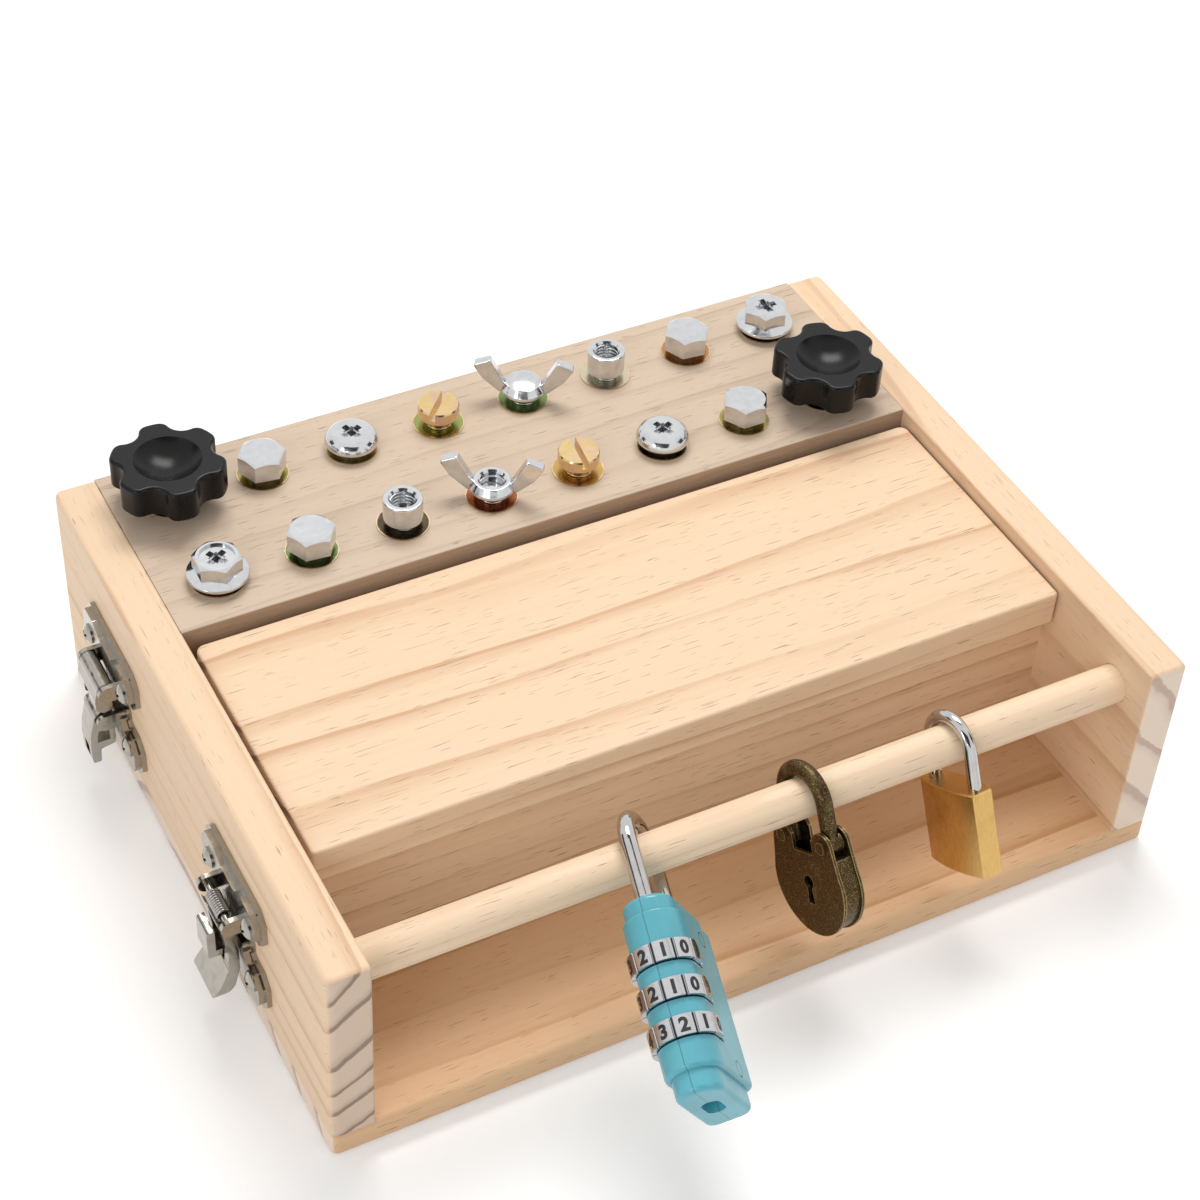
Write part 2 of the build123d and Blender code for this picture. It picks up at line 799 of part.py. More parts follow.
def hook_plate(side, place):
    """The lower plate of the front latch, with the hook that the lever snaps over."""
    inner = latch_pin_out + latch_hook_clearance
    outer = inner + latch_hook_thickness
    arm_low = latch_pin_height - latch_hook_arm_drop
    arm_high = arm_low + latch_hook_thickness
    tip = latch_pin_height - latch_hook_tip_drop
    with BuildPart() as plate:
        add_plate(side, place, -1)
        with BuildSketch(profile_plane(side, place)) as hook:
            with BuildLine():
                Polyline(
                    (latch_rim_thickness, arm_low),
                    (outer, arm_low),
                    (outer, tip),
                    (inner, tip),
                    (inner, arm_high),
                    (latch_rim_thickness, arm_high),
                    close=True,
                )
            make_face()
            fillet(hook.vertices().sort_by(Axis.X)[-2:], latch_hook_round)
        extrude(amount=latch_hook_half_width, both=True)
    return plate


def outline_from(out, height, points):
    """Points measured from a pin, moved to the pin's place on the latch."""
    return [(out + x, height + z) for x, z in points]


def latch_lever(side, place):
    """The sprung lever: two knuckles, a slab with a window and a thumb lip turned outwards."""
    outline = (*latch_lever_back, *latch_lever_lip, *latch_lever_front)
    plane = profile_plane(side, place)
    knuckle_inner = latch_lever_half_width - latch_knuckle_width
    window_height = latch_window_bottom - latch_window_top
    lever_width = 2 * latch_lever_half_width
    beyond = latch_pin_out + latch_lever_length
    with BuildPart() as lever:
        with BuildSketch(plane) as slab:
            with BuildLine():
                Polyline(*outline_from(latch_pin_out, latch_pin_height, outline), close=True)
            make_face()
            fillet(slab.vertices().sort_by(Axis.Y)[:-2], latch_lever_round)
        extrude(amount=latch_lever_half_width, both=True)
        for direction in (-1, 1):
            with BuildSketch(plane.offset(direction * knuckle_inner)) as cheek:
                with Locations((latch_pin_out, latch_pin_height)):
                    Circle(latch_knuckle_radius)
                with Locations((latch_pin_out, latch_pin_height - latch_cheek_height / 2)):
                    Rectangle(latch_cheek_width, latch_cheek_height)
            extrude(cheek.sketch, amount=direction * latch_knuckle_width)
        with BuildSketch(plane):
            with Locations((latch_pin_out, latch_pin_height)):
                Circle(latch_pin_radius + latch_pin_gap)
        extrude(amount=latch_lever_half_width, both=True, mode=Mode.SUBTRACT)
        with BuildSketch(face_plane(side, place)):
            with Locations((0, latch_pin_height - (latch_window_top + latch_window_bottom) / 2)):
                RectangleRounded(2 * latch_window_half_width, window_height, latch_lever_round)
        extrude(amount=beyond, mode=Mode.SUBTRACT)
        # The thumb lip's two corners are rounded off.
        with BuildSketch(face_plane(side, place)):
            with Locations((0, latch_pin_height - latch_lever_length)):
                Rectangle(lever_width, 2 * latch_lip_round)
            with Locations((0, latch_pin_height - latch_lever_length / 2)):
                RectangleRounded(lever_width, latch_lever_length, latch_lip_round, mode=Mode.SUBTRACT)
        extrude(amount=beyond, mode=Mode.SUBTRACT)
    return lever


def catch_plate(side, place):
    """The lower plate of the rear latch, with ears for its own small lever."""
    with BuildPart() as plate:
        add_plate(side, place, -1)
        add_ears(side, place, rear_lever_out, rear_lever_height, rear_ear_place, latch_knuckle_radius)
    return plate


def rear_lever(side, place):
    """A small cast lever: a roll on its pin, an open ring below it and a tail."""
    outline = outline_from(rear_lever_out, rear_lever_height, (*rear_lever_front, *rear_lever_back))
    ring = outline_from(rear_lever_out, rear_lever_height, rear_lever_ring)
    with BuildPart() as lever:
        with BuildSketch(profile_plane(side, place)) as profile:
            with BuildLine():
                Polyline(*outline, close=True)
            make_face()
            fillet(profile.vertices().sort_by(Axis.Y)[0:5], rear_lever_round)
            with Locations((rear_lever_out, rear_lever_height)):
                Circle(rear_lever_roll_radius)
            with BuildLine():
                Polyline(*ring, close=True)
            make_face(mode=Mode.SUBTRACT)
            with Locations((rear_lever_out, rear_lever_height)):
                Circle(latch_pin_radius + latch_pin_gap, mode=Mode.SUBTRACT)
        extrude(amount=rear_lever_half_width, both=True)
        with BuildSketch(face_plane(side, place, rear_lever_out + rear_lever_groove_out)):
            with Locations((0, rear_lever_height - rear_lever_groove_drop)):
                Rectangle(rear_lever_groove_width, rear_lever_groove_height)
        extrude(amount=rear_lever_roll_radius, mode=Mode.SUBTRACT)
    return lever


def rear_flap(side, place):
    """The short flap that hangs from the upper plate's pin, slotted down its middle."""
    slot_length = latch_pin_height
    with BuildPart() as flap:
        with BuildSketch(profile_plane(side, place)) as profile:
            with BuildLine():
                Polyline(*outline_from(latch_pin_out, latch_pin_height, rear_flap_outline), close=True)
            make_face()
            fillet(profile.vertices().sort_by(Axis.Y)[0:4], rear_flap_round)
            with Locations((latch_pin_out, latch_pin_height)):
                Circle(latch_knuckle_radius)
                Circle(latch_pin_radius + latch_pin_gap, mode=Mode.SUBTRACT)
        extrude(amount=latch_lever_half_width, both=True)
        with BuildSketch(face_plane(side, place)):
            with Locations((0, latch_pin_height - rear_flap_slot_drop - slot_length / 2)):
                Rectangle(rear_flap_slot_width, slot_length)
        extrude(amount=2 * latch_pin_out, mode=Mode.SUBTRACT)
    return flap


front_latch_y, rear_latch_y = latch_places
for side_name, side in sides:
    save(upper_plate(side, front_latch_y), f"{side_name}_front_latch_plate")
    save(hook_plate(side, front_latch_y), f"{side_name}_front_latch_hook")
    save(latch_lever(side, front_latch_y), f"{side_name}_front_latch_lever")
    save(upper_plate(side, rear_latch_y), f"{side_name}_rear_latch_plate")
    save(catch_plate(side, rear_latch_y), f"{side_name}_rear_latch_catch")
    save(rear_flap(side, rear_latch_y), f"{side_name}_rear_latch_flap")
    save(rear_lever(side, rear_latch_y), f"{side_name}_rear_latch_lever")

with BuildPart() as latch_pins:
    pin_ends = latch_ear_place + latch_ear_thickness
    rear_pin_ends = rear_ear_place + latch_ear_thickness
    for side_name, side in sides:
        for latch_y in latch_places:
            with BuildSketch(profile_plane(side, latch_y)):
                with Locations((latch_pin_out, latch_pin_height)):
                    Circle(latch_pin_radius)
            extrude(amount=pin_ends, both=True)
        with BuildSketch(profile_plane(side, rear_latch_y)):
            with Locations((rear_lever_out, rear_lever_height)):
                Circle(latch_pin_radius)
        extrude(amount=rear_pin_ends, both=True)
save(latch_pins, "latch_pins")

# Each spring is its stack of turns, round the pin between the lever's knuckles.
spring_half_length = latch_lever_half_width - latch_knuckle_width - latch_ear_gap
spring_turns = int(spring_half_length / latch_spring_wire)
with BuildPart() as latch_springs:
    wire = latch_spring_wire
    bottom = latch_spring_radius - wire
    start = -spring_turns * wire
    for side_name, side in sides:
        spring_plane = Plane(
            origin=(side * (half_width + latch_pin_out), front_latch_y, latch_pin_height),
            x_dir=(0, 1, 0),
            z_dir=(1, 0, 0),
        )
        with BuildSketch(spring_plane) as turns:
            with BuildLine():
                for turn in range(spring_turns):
                    left = start + 2 * wire * turn
                    crest = (left + wire, latch_spring_radius)
                    ThreePointArc((left, bottom), crest, (left + 2 * wire, bottom))
                Polyline(
                    (-start, bottom),
                    (-start, latch_pin_radius + 2 * latch_pin_gap),
                    (start, latch_pin_radius + 2 * latch_pin_gap),
                    (start, bottom),
                )
            make_face()
        revolve(axis=Axis(spring_plane.origin, (0, 1, 0)))
save(latch_springs, "latch_springs")

with BuildPart() as latch_screws:
    seat = latch_plate_thickness
    rim = latch_screw_head_radius
    crown = latch_screw_head_height
    for side_name, side in sides:
        for latch_y in latch_places:
            for row in (upper_screw_row, lower_screw_row):
                for reach in (-latch_screw_place, latch_screw_place):
                    screw_plane = profile_plane(side, latch_y + reach)
                    with BuildSketch(screw_plane) as profile:
                        with BuildLine():
                            Polyline(
                                (-latch_screw_length, row),
                                (latch_screw_radius - latch_screw_length, row + latch_screw_radius),
                                (seat, row + latch_screw_radius),
                                (seat, row + rim),
                                (seat + latch_screw_rim_height, row + rim),
                            )
                            rim_top = (seat + latch_screw_rim_height, row + rim)
                            TangentArc((seat + crown, row), rim_top, tangent=(0, 1))
                            Line((seat + crown, row), (-latch_screw_length, row))
                        make_face()
                    revolve(axis=Axis((0, latch_y + reach, row), (1, 0, 0)))
                    with BuildSketch(face_plane(side, latch_y + reach, seat + crown)):
                        with Locations(Location((0, row), latch_screw_turn)):
                            Rectangle(latch_screw_slot_length, latch_screw_slot_width)
                            Rectangle(latch_screw_slot_width, latch_screw_slot_length)
                    extrude(amount=-latch_screw_slot_depth, mode=Mode.SUBTRACT)
save(latch_screws, "latch_screws")


# ---------------------------------------------------------------- padlocks on the dowel
def lock_plane(place, lean, twist, roll=0.0):
    """A padlock's middle plane, centred on the dowel: x to the lock's front, y up its legs.

    The lock leans forwards about the dowel, is twisted about its own length, and then
    rolled in its own plane.
    """
    hanging = Plane(origin=(place - half_width, dowel_y, dowel_height), x_dir=(0, -1, 0), z_dir=(-1, 0, 0))
    return Plane(hanging.location * Rotation(0, 0, lean) * Rotation(0, twist, 0) * Rotation(0, 0, roll))


def section_plane(plane, height, depth=0.0):
    """A plane across the lock at a height on its legs, facing down; y is the lock's thickness."""
    return Plane(
        origin=plane.from_local_coords((depth, height, 0)),
        x_dir=plane.x_dir,
        z_dir=-plane.y_dir,
    )


def add_shackle(plane, spacing, rod_radius, front_leg, back_leg, bow_gap=lock_bow_gap):
    """A round bar bent over the dowel, with legs that reach down to two heights."""
    crown = dowel_radius + bow_gap - (spacing / 2 - rod_radius)
    with BuildLine(plane) as path:
        Line((spacing / 2, front_leg), (spacing / 2, crown))
        ThreePointArc((spacing / 2, crown), (0, crown + spacing / 2), (-spacing / 2, crown))
        Line((-spacing / 2, crown), (-spacing / 2, back_leg))
    with BuildSketch(Plane(origin=path.line @ 0, z_dir=path.line % 0)) as bar:
        Circle(rod_radius)
    sweep(bar.sketch, path=path.line)


# Brass padlock: a solid body with rounded faces, a key plug and a steel shackle.
brass_plane = lock_plane(brass_place, brass_lean, brass_twist)
brass_bottom = -brass_drop - brass_height
with BuildPart() as brass_lock_body:
    with BuildSketch(section_plane(brass_plane, -brass_drop)) as brass_section:
        edge = brass_width / 2
        narrow = brass_side_thickness / 2
        with BuildLine():
            Line((-edge, -narrow), (-edge, narrow))
            ThreePointArc((-edge, narrow), (0, brass_thickness / 2), (edge, narrow))
            Line((edge, narrow), (edge, -narrow))
            ThreePointArc((edge, -narrow), (0, -brass_thickness / 2), (-edge, -narrow))
        make_face()
    extrude(amount=brass_height)
    chamfer(brass_lock_body.edges(), brass_edge)
    for leg, reach in ((-1, brass_long_leg), (1, brass_short_leg)):
        with BuildSketch(section_plane(brass_plane, -brass_drop)):
            with Locations((leg * brass_leg_spacing / 2, 0)):
                Circle(brass_rod_radius + leg_gap)
        extrude(amount=reach + leg_hole_overrun, mode=Mode.SUBTRACT)
    with BuildSketch(section_plane(brass_plane, brass_bottom)):
        Circle(brass_plug_radius + leg_gap)
    extrude(amount=-brass_plug_length, mode=Mode.SUBTRACT)
save(brass_lock_body, "brass_lock_body")

with BuildPart() as brass_lock_shackle:
    add_shackle(
        brass_plane,
        brass_leg_spacing,
        brass_rod_radius,
        -brass_drop - brass_short_leg,
        -brass_drop - brass_long_leg,
    )
save(brass_lock_shackle, "brass_lock_shackle")

with BuildPart() as brass_lock_plug:
    with BuildSketch(section_plane(brass_plane, brass_bottom)):
        Circle(brass_plug_radius)
    extrude(amount=-brass_plug_length)
    with BuildSketch(section_plane(brass_plane, brass_bottom)):
        Rectangle(brass_keyway_height, brass_keyway_width)
    extrude(amount=-brass_keyway_depth, mode=Mode.SUBTRACT)
save(brass_lock_plug, "brass_lock_plug")

# Bronze padlock: two shield-shaped plates on a band, with a shackle that turns on a rivet.
bronze_plane = lock_plane(bronze_place, bronze_lean, bronze_twist)
bronze_pivot = bronze_leg_spacing / 2


def shield(plane, inset):
    """The lock's outline: a round body with two ears on each side of a notch."""
    with BuildSketch(plane) as outline:
        with Locations((0, -bronze_round_drop)):
            Circle(bronze_round_radius - inset)
        with Locations((-bronze_pivot, -bronze_ear_drop), (bronze_pivot, -bronze_ear_drop)):
            Circle(bronze_ear_radius - inset)
        ear_edge = bronze_pivot + bronze_ear_radius - inset
        with BuildLine():
            Polyline(
                (-ear_edge, -bronze_ear_drop),
                (ear_edge, -bronze_ear_drop),
                (bronze_round_radius - inset, -bronze_round_drop),
                (inset - bronze_round_radius, -bronze_round_drop),
                close=True,
            )
        make_face()
        notch_low = bronze_notch_drop + inset
        with Locations((0, -notch_low / 2)):
            Rectangle(2 * (bronze_notch_half_width + inset), notch_low, mode=Mode.SUBTRACT)
    return outline.sketch


half_gap = bronze_plate_gap / 2
for plate_name, facing in (("front", 1), ("back", -1)):
    with BuildPart() as lock_plate:
        extrude(shield(bronze_plane.offset(facing * half_gap), 0), amount=facing * bronze_plate_thickness)
        with BuildSketch(bronze_plane):
            with Locations((bronze_pivot, -bronze_ear_drop)):
                Circle(bronze_rivet_radius + leg_gap)
        extrude(amount=facing * 2 * bronze_plate_gap, mode=Mode.SUBTRACT)
        if facing > 0:
            with BuildSketch(bronze_plane):
                with Locations((0, -bronze_key_drop)):
                    Circle(bronze_key_radius)
                with Locations((0, -bronze_key_drop - bronze_key_length / 2)):
                    Trapezoid(bronze_key_foot_width, bronze_key_length, bronze_key_slope)
            extrude(amount=2 * bronze_plate_gap, mode=Mode.SUBTRACT)
    save(lock_plate, f"bronze_lock_{plate_name}_plate")

with BuildPart() as bronze_lock_band:
    band_plane = bronze_plane.offset(-half_gap)
    extrude(shield(band_plane, bronze_band_inset), amount=bronze_plate_gap)
    inner_inset = bronze_band_inset + bronze_band_thickness
    with BuildSketch(band_plane):
        with Locations((0, -bronze_round_drop)):
            Circle(bronze_round_radius - inner_inset)
    extrude(amount=bronze_plate_gap, mode=Mode.SUBTRACT)
    with BuildSketch(band_plane):
        with Locations((0, -bronze_band_top / 2)):
            Rectangle(4 * bronze_round_radius, bronze_band_top)
    extrude(amount=bronze_plate_gap, mode=Mode.SUBTRACT)
save(bronze_lock_band, "bronze_lock_band")

with BuildPart() as bronze_lock_shackle:
    add_shackle(
        bronze_plane,
        bronze_leg_spacing,
        bronze_rod_radius,
        -bronze_ear_drop,
        -bronze_ear_drop - bronze_free_leg,
    )
    with BuildSketch(bronze_plane):
        with Locations((bronze_pivot, -bronze_ear_drop)):
            Circle(bronze_eye_radius)
    extrude(amount=bronze_eye_thickness / 2, both=True)
    with BuildSketch(bronze_plane):
        with Locations((bronze_pivot, -bronze_ear_drop)):
            Circle(bronze_rivet_radius + leg_gap)
    extrude(amount=2 * bronze_rod_radius, both=True, mode=Mode.SUBTRACT)
save(bronze_lock_shackle, "bronze_lock_shackle")

with BuildPart() as bronze_lock_rivets:
    outside = half_gap + bronze_plate_thickness
    with BuildSketch(bronze_plane):
        with Locations((bronze_pivot, -bronze_ear_drop)):
            Circle(bronze_rivet_radius)
    extrude(amount=outside, both=True)
    for facing in (-1, 1):
        with BuildSketch(bronze_plane.offset(facing * outside)):
            with Locations((bronze_pivot, -bronze_ear_drop), (-bronze_pivot, -bronze_ear_drop)):
                Circle(bronze_rivet_head)
        extrude(amount=facing * bronze_rivet_head_height)
save(bronze_lock_rivets, "bronze_lock_rivets")

# Number padlock: a two-part plastic shell, three number rings on a spindle and a shackle.
number_plane = lock_plane(number_place, number_lean, number_twist, number_roll)
number_top = -number_lowering
number_bottom = number_top - number_height
number_edge = number_width / 2
spindle_place = number_edge + dial_stand_out - dial_radius
dial_drops = [dial_first_drop + dial_pitch * i for i in range(dial_count)]


def shell_section(height, inset):
    """The shell's section: round on the rings' side, square with round corners behind."""
    radius = number_thickness / 2 - inset
    back = number_edge - inset
    with BuildSketch(section_plane(number_plane, height)) as section:
        with Locations((number_edge - number_thickness / 2, 0)):
            Circle(radius)
        middle = (number_edge - number_thickness / 2 - back) / 2
        length = number_edge - number_thickness / 2 + back
        with Locations((middle, 0)):
            Rectangle(length, 2 * radius)
        fillet(section.vertices().group_by(Axis.X)[0], number_corner_round)
    return section.sketch


length_axis = Axis(number_plane.origin, number_plane.y_dir)
with BuildPart() as whole_shell:
    main_height = number_height - number_collar_height - number_foot_height
    main_top = number_top - number_collar_height
    extrude(shell_section(main_top, 0), amount=main_height)
    fillet(whole_shell.faces().group_by(length_axis)[0].edges(), number_foot_round)
    fillet(whole_shell.faces().group_by(length_axis)[-1].edges(), number_step_round)
    extrude(shell_section(number_top, number_collar_inset), amount=number_height / 2)
    fillet(whole_shell.faces().group_by(length_axis)[-1].edges(), number_edge_round)
    extrude(shell_section(number_bottom + number_height / 2, number_foot_inset), amount=number_height / 2)
    fillet(whole_shell.faces().group_by(length_axis)[0].edges(), number_edge_round)
    with BuildSketch(number_plane):
        with BuildLine():
            Polyline(
                (-2 * number_edge, number_top - number_shoulder_length),
                (-number_edge, number_top - number_shoulder_length),
                (number_shoulder - number_edge, number_top),
                (number_shoulder - number_edge, number_top + number_shoulder_length),
                (-2 * number_edge, number_top + number_shoulder_length),
                close=True,
            )
        make_face()
    extrude(amount=number_thickness, both=True, mode=Mode.SUBTRACT)
    for drop in dial_drops:
        pocket = dial_height / 2 + dial_gap
        with BuildSketch(section_plane(number_plane, number_top - drop + pocket)):
            with Locations((spindle_place, 0)):
                Circle(dial_radius + dial_gap)
        extrude(amount=2 * pocket, mode=Mode.SUBTRACT)
    with BuildSketch(section_plane(number_plane, number_top - spindle_drop)):
        with Locations((spindle_place, 0)):
            Circle(spindle_radius + spindle_gap)
    extrude(amount=spindle_length, mode=Mode.SUBTRACT)
    for leg, reach in ((1, number_short_leg), (-1, number_long_leg)):
        with BuildSketch(section_plane(number_plane, number_top)):
            with Locations((leg * number_leg_spacing / 2, 0)):
                Circle(number_rod_radius + leg_gap)
        extrude(amount=reach + leg_hole_overrun, mode=Mode.SUBTRACT)
    with BuildSketch(section_plane(number_plane, number_bottom)):
        SlotOverall(number_reset_length, number_reset_width)
    extrude(amount=-number_reset_depth, mode=Mode.SUBTRACT)
    for drop in (lock_rivet_first, lock_rivet_second):
        with BuildSketch(number_plane):
            with Locations((-lock_rivet_place, number_top - drop)):
                Circle(lock_rivet_radius + spindle_gap)
        extrude(amount=number_thickness, both=True, mode=Mode.SUBTRACT)
        for facing in (-1, 1):
            with BuildSketch(number_plane.offset(facing * number_thickness / 2)):
                with Locations((-lock_rivet_place, number_top - drop)):
                    Circle(lock_rivet_head + spindle_gap)
            extrude(amount=-facing * lock_rivet_recess, mode=Mode.SUBTRACT)

for half_name, keep in (("front", Keep.TOP), ("rear", Keep.BOTTOM)):
    with BuildPart() as shell_half:
        add(whole_shell.part)
        split(bisect_by=number_plane, keep=keep)
    save(shell_half, f"number_lock_{half_name}_shell")

with BuildPart() as number_lock_shackle:
    add_shackle(
        number_plane,
        number_leg_spacing,
        number_rod_radius,
        number_top - number_short_leg,
        number_top - number_long_leg,
        number_bow_gap,
    )
save(number_lock_shackle, "number_lock_shackle")

for number, drop in enumerate(dial_drops, start=1):
    with BuildPart() as dial:
        with BuildSketch(section_plane(number_plane, number_top - drop + dial_height / 2)):
            with Locations((spindle_place, 0)):
                Circle(dial_radius)
                with PolarLocations(dial_radius, dial_digits):
                    Circle(dial_groove_radius, mode=Mode.SUBTRACT)
                Circle(spindle_radius + spindle_gap, mode=Mode.SUBTRACT)
        extrude(amount=dial_height)
    save(dial, f"number_lock_dial_{number}")

with BuildPart() as number_lock_spindle:
    with BuildSketch(section_plane(number_plane, number_top - spindle_drop)):
        with Locations((spindle_place, 0)):
            Circle(spindle_radius)
    extrude(amount=spindle_length)
save(number_lock_spindle, "number_lock_spindle")

with BuildPart() as number_lock_rivets:
    head_seat = number_thickness / 2 - lock_rivet_recess
    for drop in (lock_rivet_first, lock_rivet_second):
        with BuildSketch(number_plane):
            with Locations((-lock_rivet_place, number_top - drop)):
                Circle(lock_rivet_radius)
        extrude(amount=head_seat, both=True)
        for facing in (-1, 1):
            with BuildSketch(number_plane.offset(facing * head_seat)):
                with Locations((-lock_rivet_place, number_top - drop)):
                    Circle(lock_rivet_head)
            extrude(amount=facing * lock_rivet_recess)
save(number_lock_rivets, "number_lock_rivets")
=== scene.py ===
# %% [markdown]
# # A wooden busy board
#
# The board is a small pine case. Bolts, screws, wing nuts and two star knobs turn on a panel at
# the back, a lid covers a storage box in the middle, and three padlocks hang on a dowel over an
# open tray. Box latches sit on both side walls.
#
# The solids come from the CAD frame at their real size, in metres. This script dresses them:
# it paints every piece, and adds what is finer than the solids, such as screw threads, coil
# springs and the numbers on the padlock's rings.

# %% The frame
import json
from math import cos, pi, radians, sin

import bmesh
import bpy
from mathutils import Matrix, Vector


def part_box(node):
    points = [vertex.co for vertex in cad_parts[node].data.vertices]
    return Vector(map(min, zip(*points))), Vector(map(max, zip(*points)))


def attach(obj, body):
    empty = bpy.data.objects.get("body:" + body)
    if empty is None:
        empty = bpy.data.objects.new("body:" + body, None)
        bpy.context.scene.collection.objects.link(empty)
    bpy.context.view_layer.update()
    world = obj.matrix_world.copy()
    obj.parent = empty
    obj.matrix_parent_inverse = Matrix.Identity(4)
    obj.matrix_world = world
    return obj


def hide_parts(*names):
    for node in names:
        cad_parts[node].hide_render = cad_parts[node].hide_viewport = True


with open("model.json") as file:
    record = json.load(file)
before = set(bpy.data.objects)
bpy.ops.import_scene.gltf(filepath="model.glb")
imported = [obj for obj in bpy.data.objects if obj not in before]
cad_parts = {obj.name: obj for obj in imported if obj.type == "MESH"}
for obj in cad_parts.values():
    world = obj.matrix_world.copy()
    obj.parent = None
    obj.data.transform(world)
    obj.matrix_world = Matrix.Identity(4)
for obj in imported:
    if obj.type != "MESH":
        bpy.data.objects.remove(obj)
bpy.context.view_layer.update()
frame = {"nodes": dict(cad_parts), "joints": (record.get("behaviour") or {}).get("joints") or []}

nodes = frame["nodes"]
MM = 0.001

# %% [markdown]
# ## The camera
#
# A product picture is taken with a long lens from well above, so that parallel boards stay
# nearly parallel. The camera looks at a point on the table inside the case. It is turned about
# that point by an azimuth, raised by an elevation and rolled a few degrees.

# %% Camera
CAMERA_AIM = Vector((32.55, 61.01, 0.0)) * MM
CAMERA_AZIMUTH = 29.88
CAMERA_ELEVATION = 43.32
CAMERA_ROLL = 3.48
CAMERA_DISTANCE = 869.38 * MM
CAMERA_LENS = 78.06
CAMERA_SENSOR = 36.0
CAMERA_CLIP = (0.05, 50.0)


def make_camera():
    turn = radians(CAMERA_AZIMUTH)
    rise = radians(CAMERA_ELEVATION)
    forward = Vector((sin(turn) * cos(rise), cos(turn) * cos(rise), -sin(rise)))
    right = Vector((cos(turn), -sin(turn), 0))
    up = right.cross(forward)
    roll = radians(CAMERA_ROLL)
    rolled_right = cos(roll) * right + sin(roll) * up
    rolled_up = cos(roll) * up - sin(roll) * right
    camera = bpy.data.objects.new("camera", bpy.data.cameras.new("camera"))
    camera.data.lens = CAMERA_LENS
    camera.data.sensor_width = CAMERA_SENSOR
    camera.data.clip_start, camera.data.clip_end = CAMERA_CLIP
    position = CAMERA_AIM - CAMERA_DISTANCE * forward
    facing = Matrix((rolled_right, rolled_up, -forward)).transposed().to_4x4()
    camera.matrix_world = Matrix.Translation(position) @ facing
    bpy.context.scene.collection.objects.link(camera)
    bpy.context.scene.camera = camera
    return camera


camera = make_camera()
print("camera at", [round(c, 4) for c in camera.matrix_world.translation])

# %% [markdown]
# ## A small language for materials
#
# A material is a web of nodes, and a web is hard to read as code. Two classes let each finish
# read like a recipe. `Number` wraps an output that varies over the surface, and its operators
# add Math nodes. `Paint` is one material; its `add` method makes any other node from a type,
# its settings and the values or links of its sockets.

# %% Shader arithmetic
class Number:
    """An output socket of a material, with arithmetic."""

    def __init__(self, paint, socket):
        self.paint = paint
        self.socket = socket

    def maths(self, operation, *values, clamp=False):
        settings = {"operation": operation, "use_clamp": clamp}
        return self.paint.add("ShaderNodeMath", settings, dict(enumerate(values)))

    def __add__(self, other):
        return self.maths("ADD", self, other)

    def __radd__(self, other):
        return self.maths("ADD", other, self)

    def __sub__(self, other):
        return self.maths("SUBTRACT", self, other)

    def __rsub__(self, other):
        return self.maths("SUBTRACT", other, self)

    def __mul__(self, other):
        return self.maths("MULTIPLY", self, other)

    def __rmul__(self, other):
        return self.maths("MULTIPLY", other, self)

    def __truediv__(self, other):
        return self.maths("DIVIDE", self, other)

    def __pow__(self, other):
        return self.maths("POWER", self, other)

    def __gt__(self, other):
        return self.maths("GREATER_THAN", self, other)

    def fraction(self):
        return self.maths("FRACT", self)

    def size(self):
        return self.maths("ABSOLUTE", self)

    def root(self):
        return self.maths("SQRT", self)

    def clamped(self):
        return self.maths("ADD", self, 0.0, clamp=True)

    def ramp(self, low, high, to_low=0.0, to_high=1.0):
        """Maps low..high to to_low..to_high smoothly, flat outside."""
        return self.paint.add(
            "ShaderNodeMapRange",
            {"interpolation_type": "SMOOTHSTEP"},
            {"Value": self, "From Min": low, "From Max": high, "To Min": to_low, "To Max": to_high},
        )


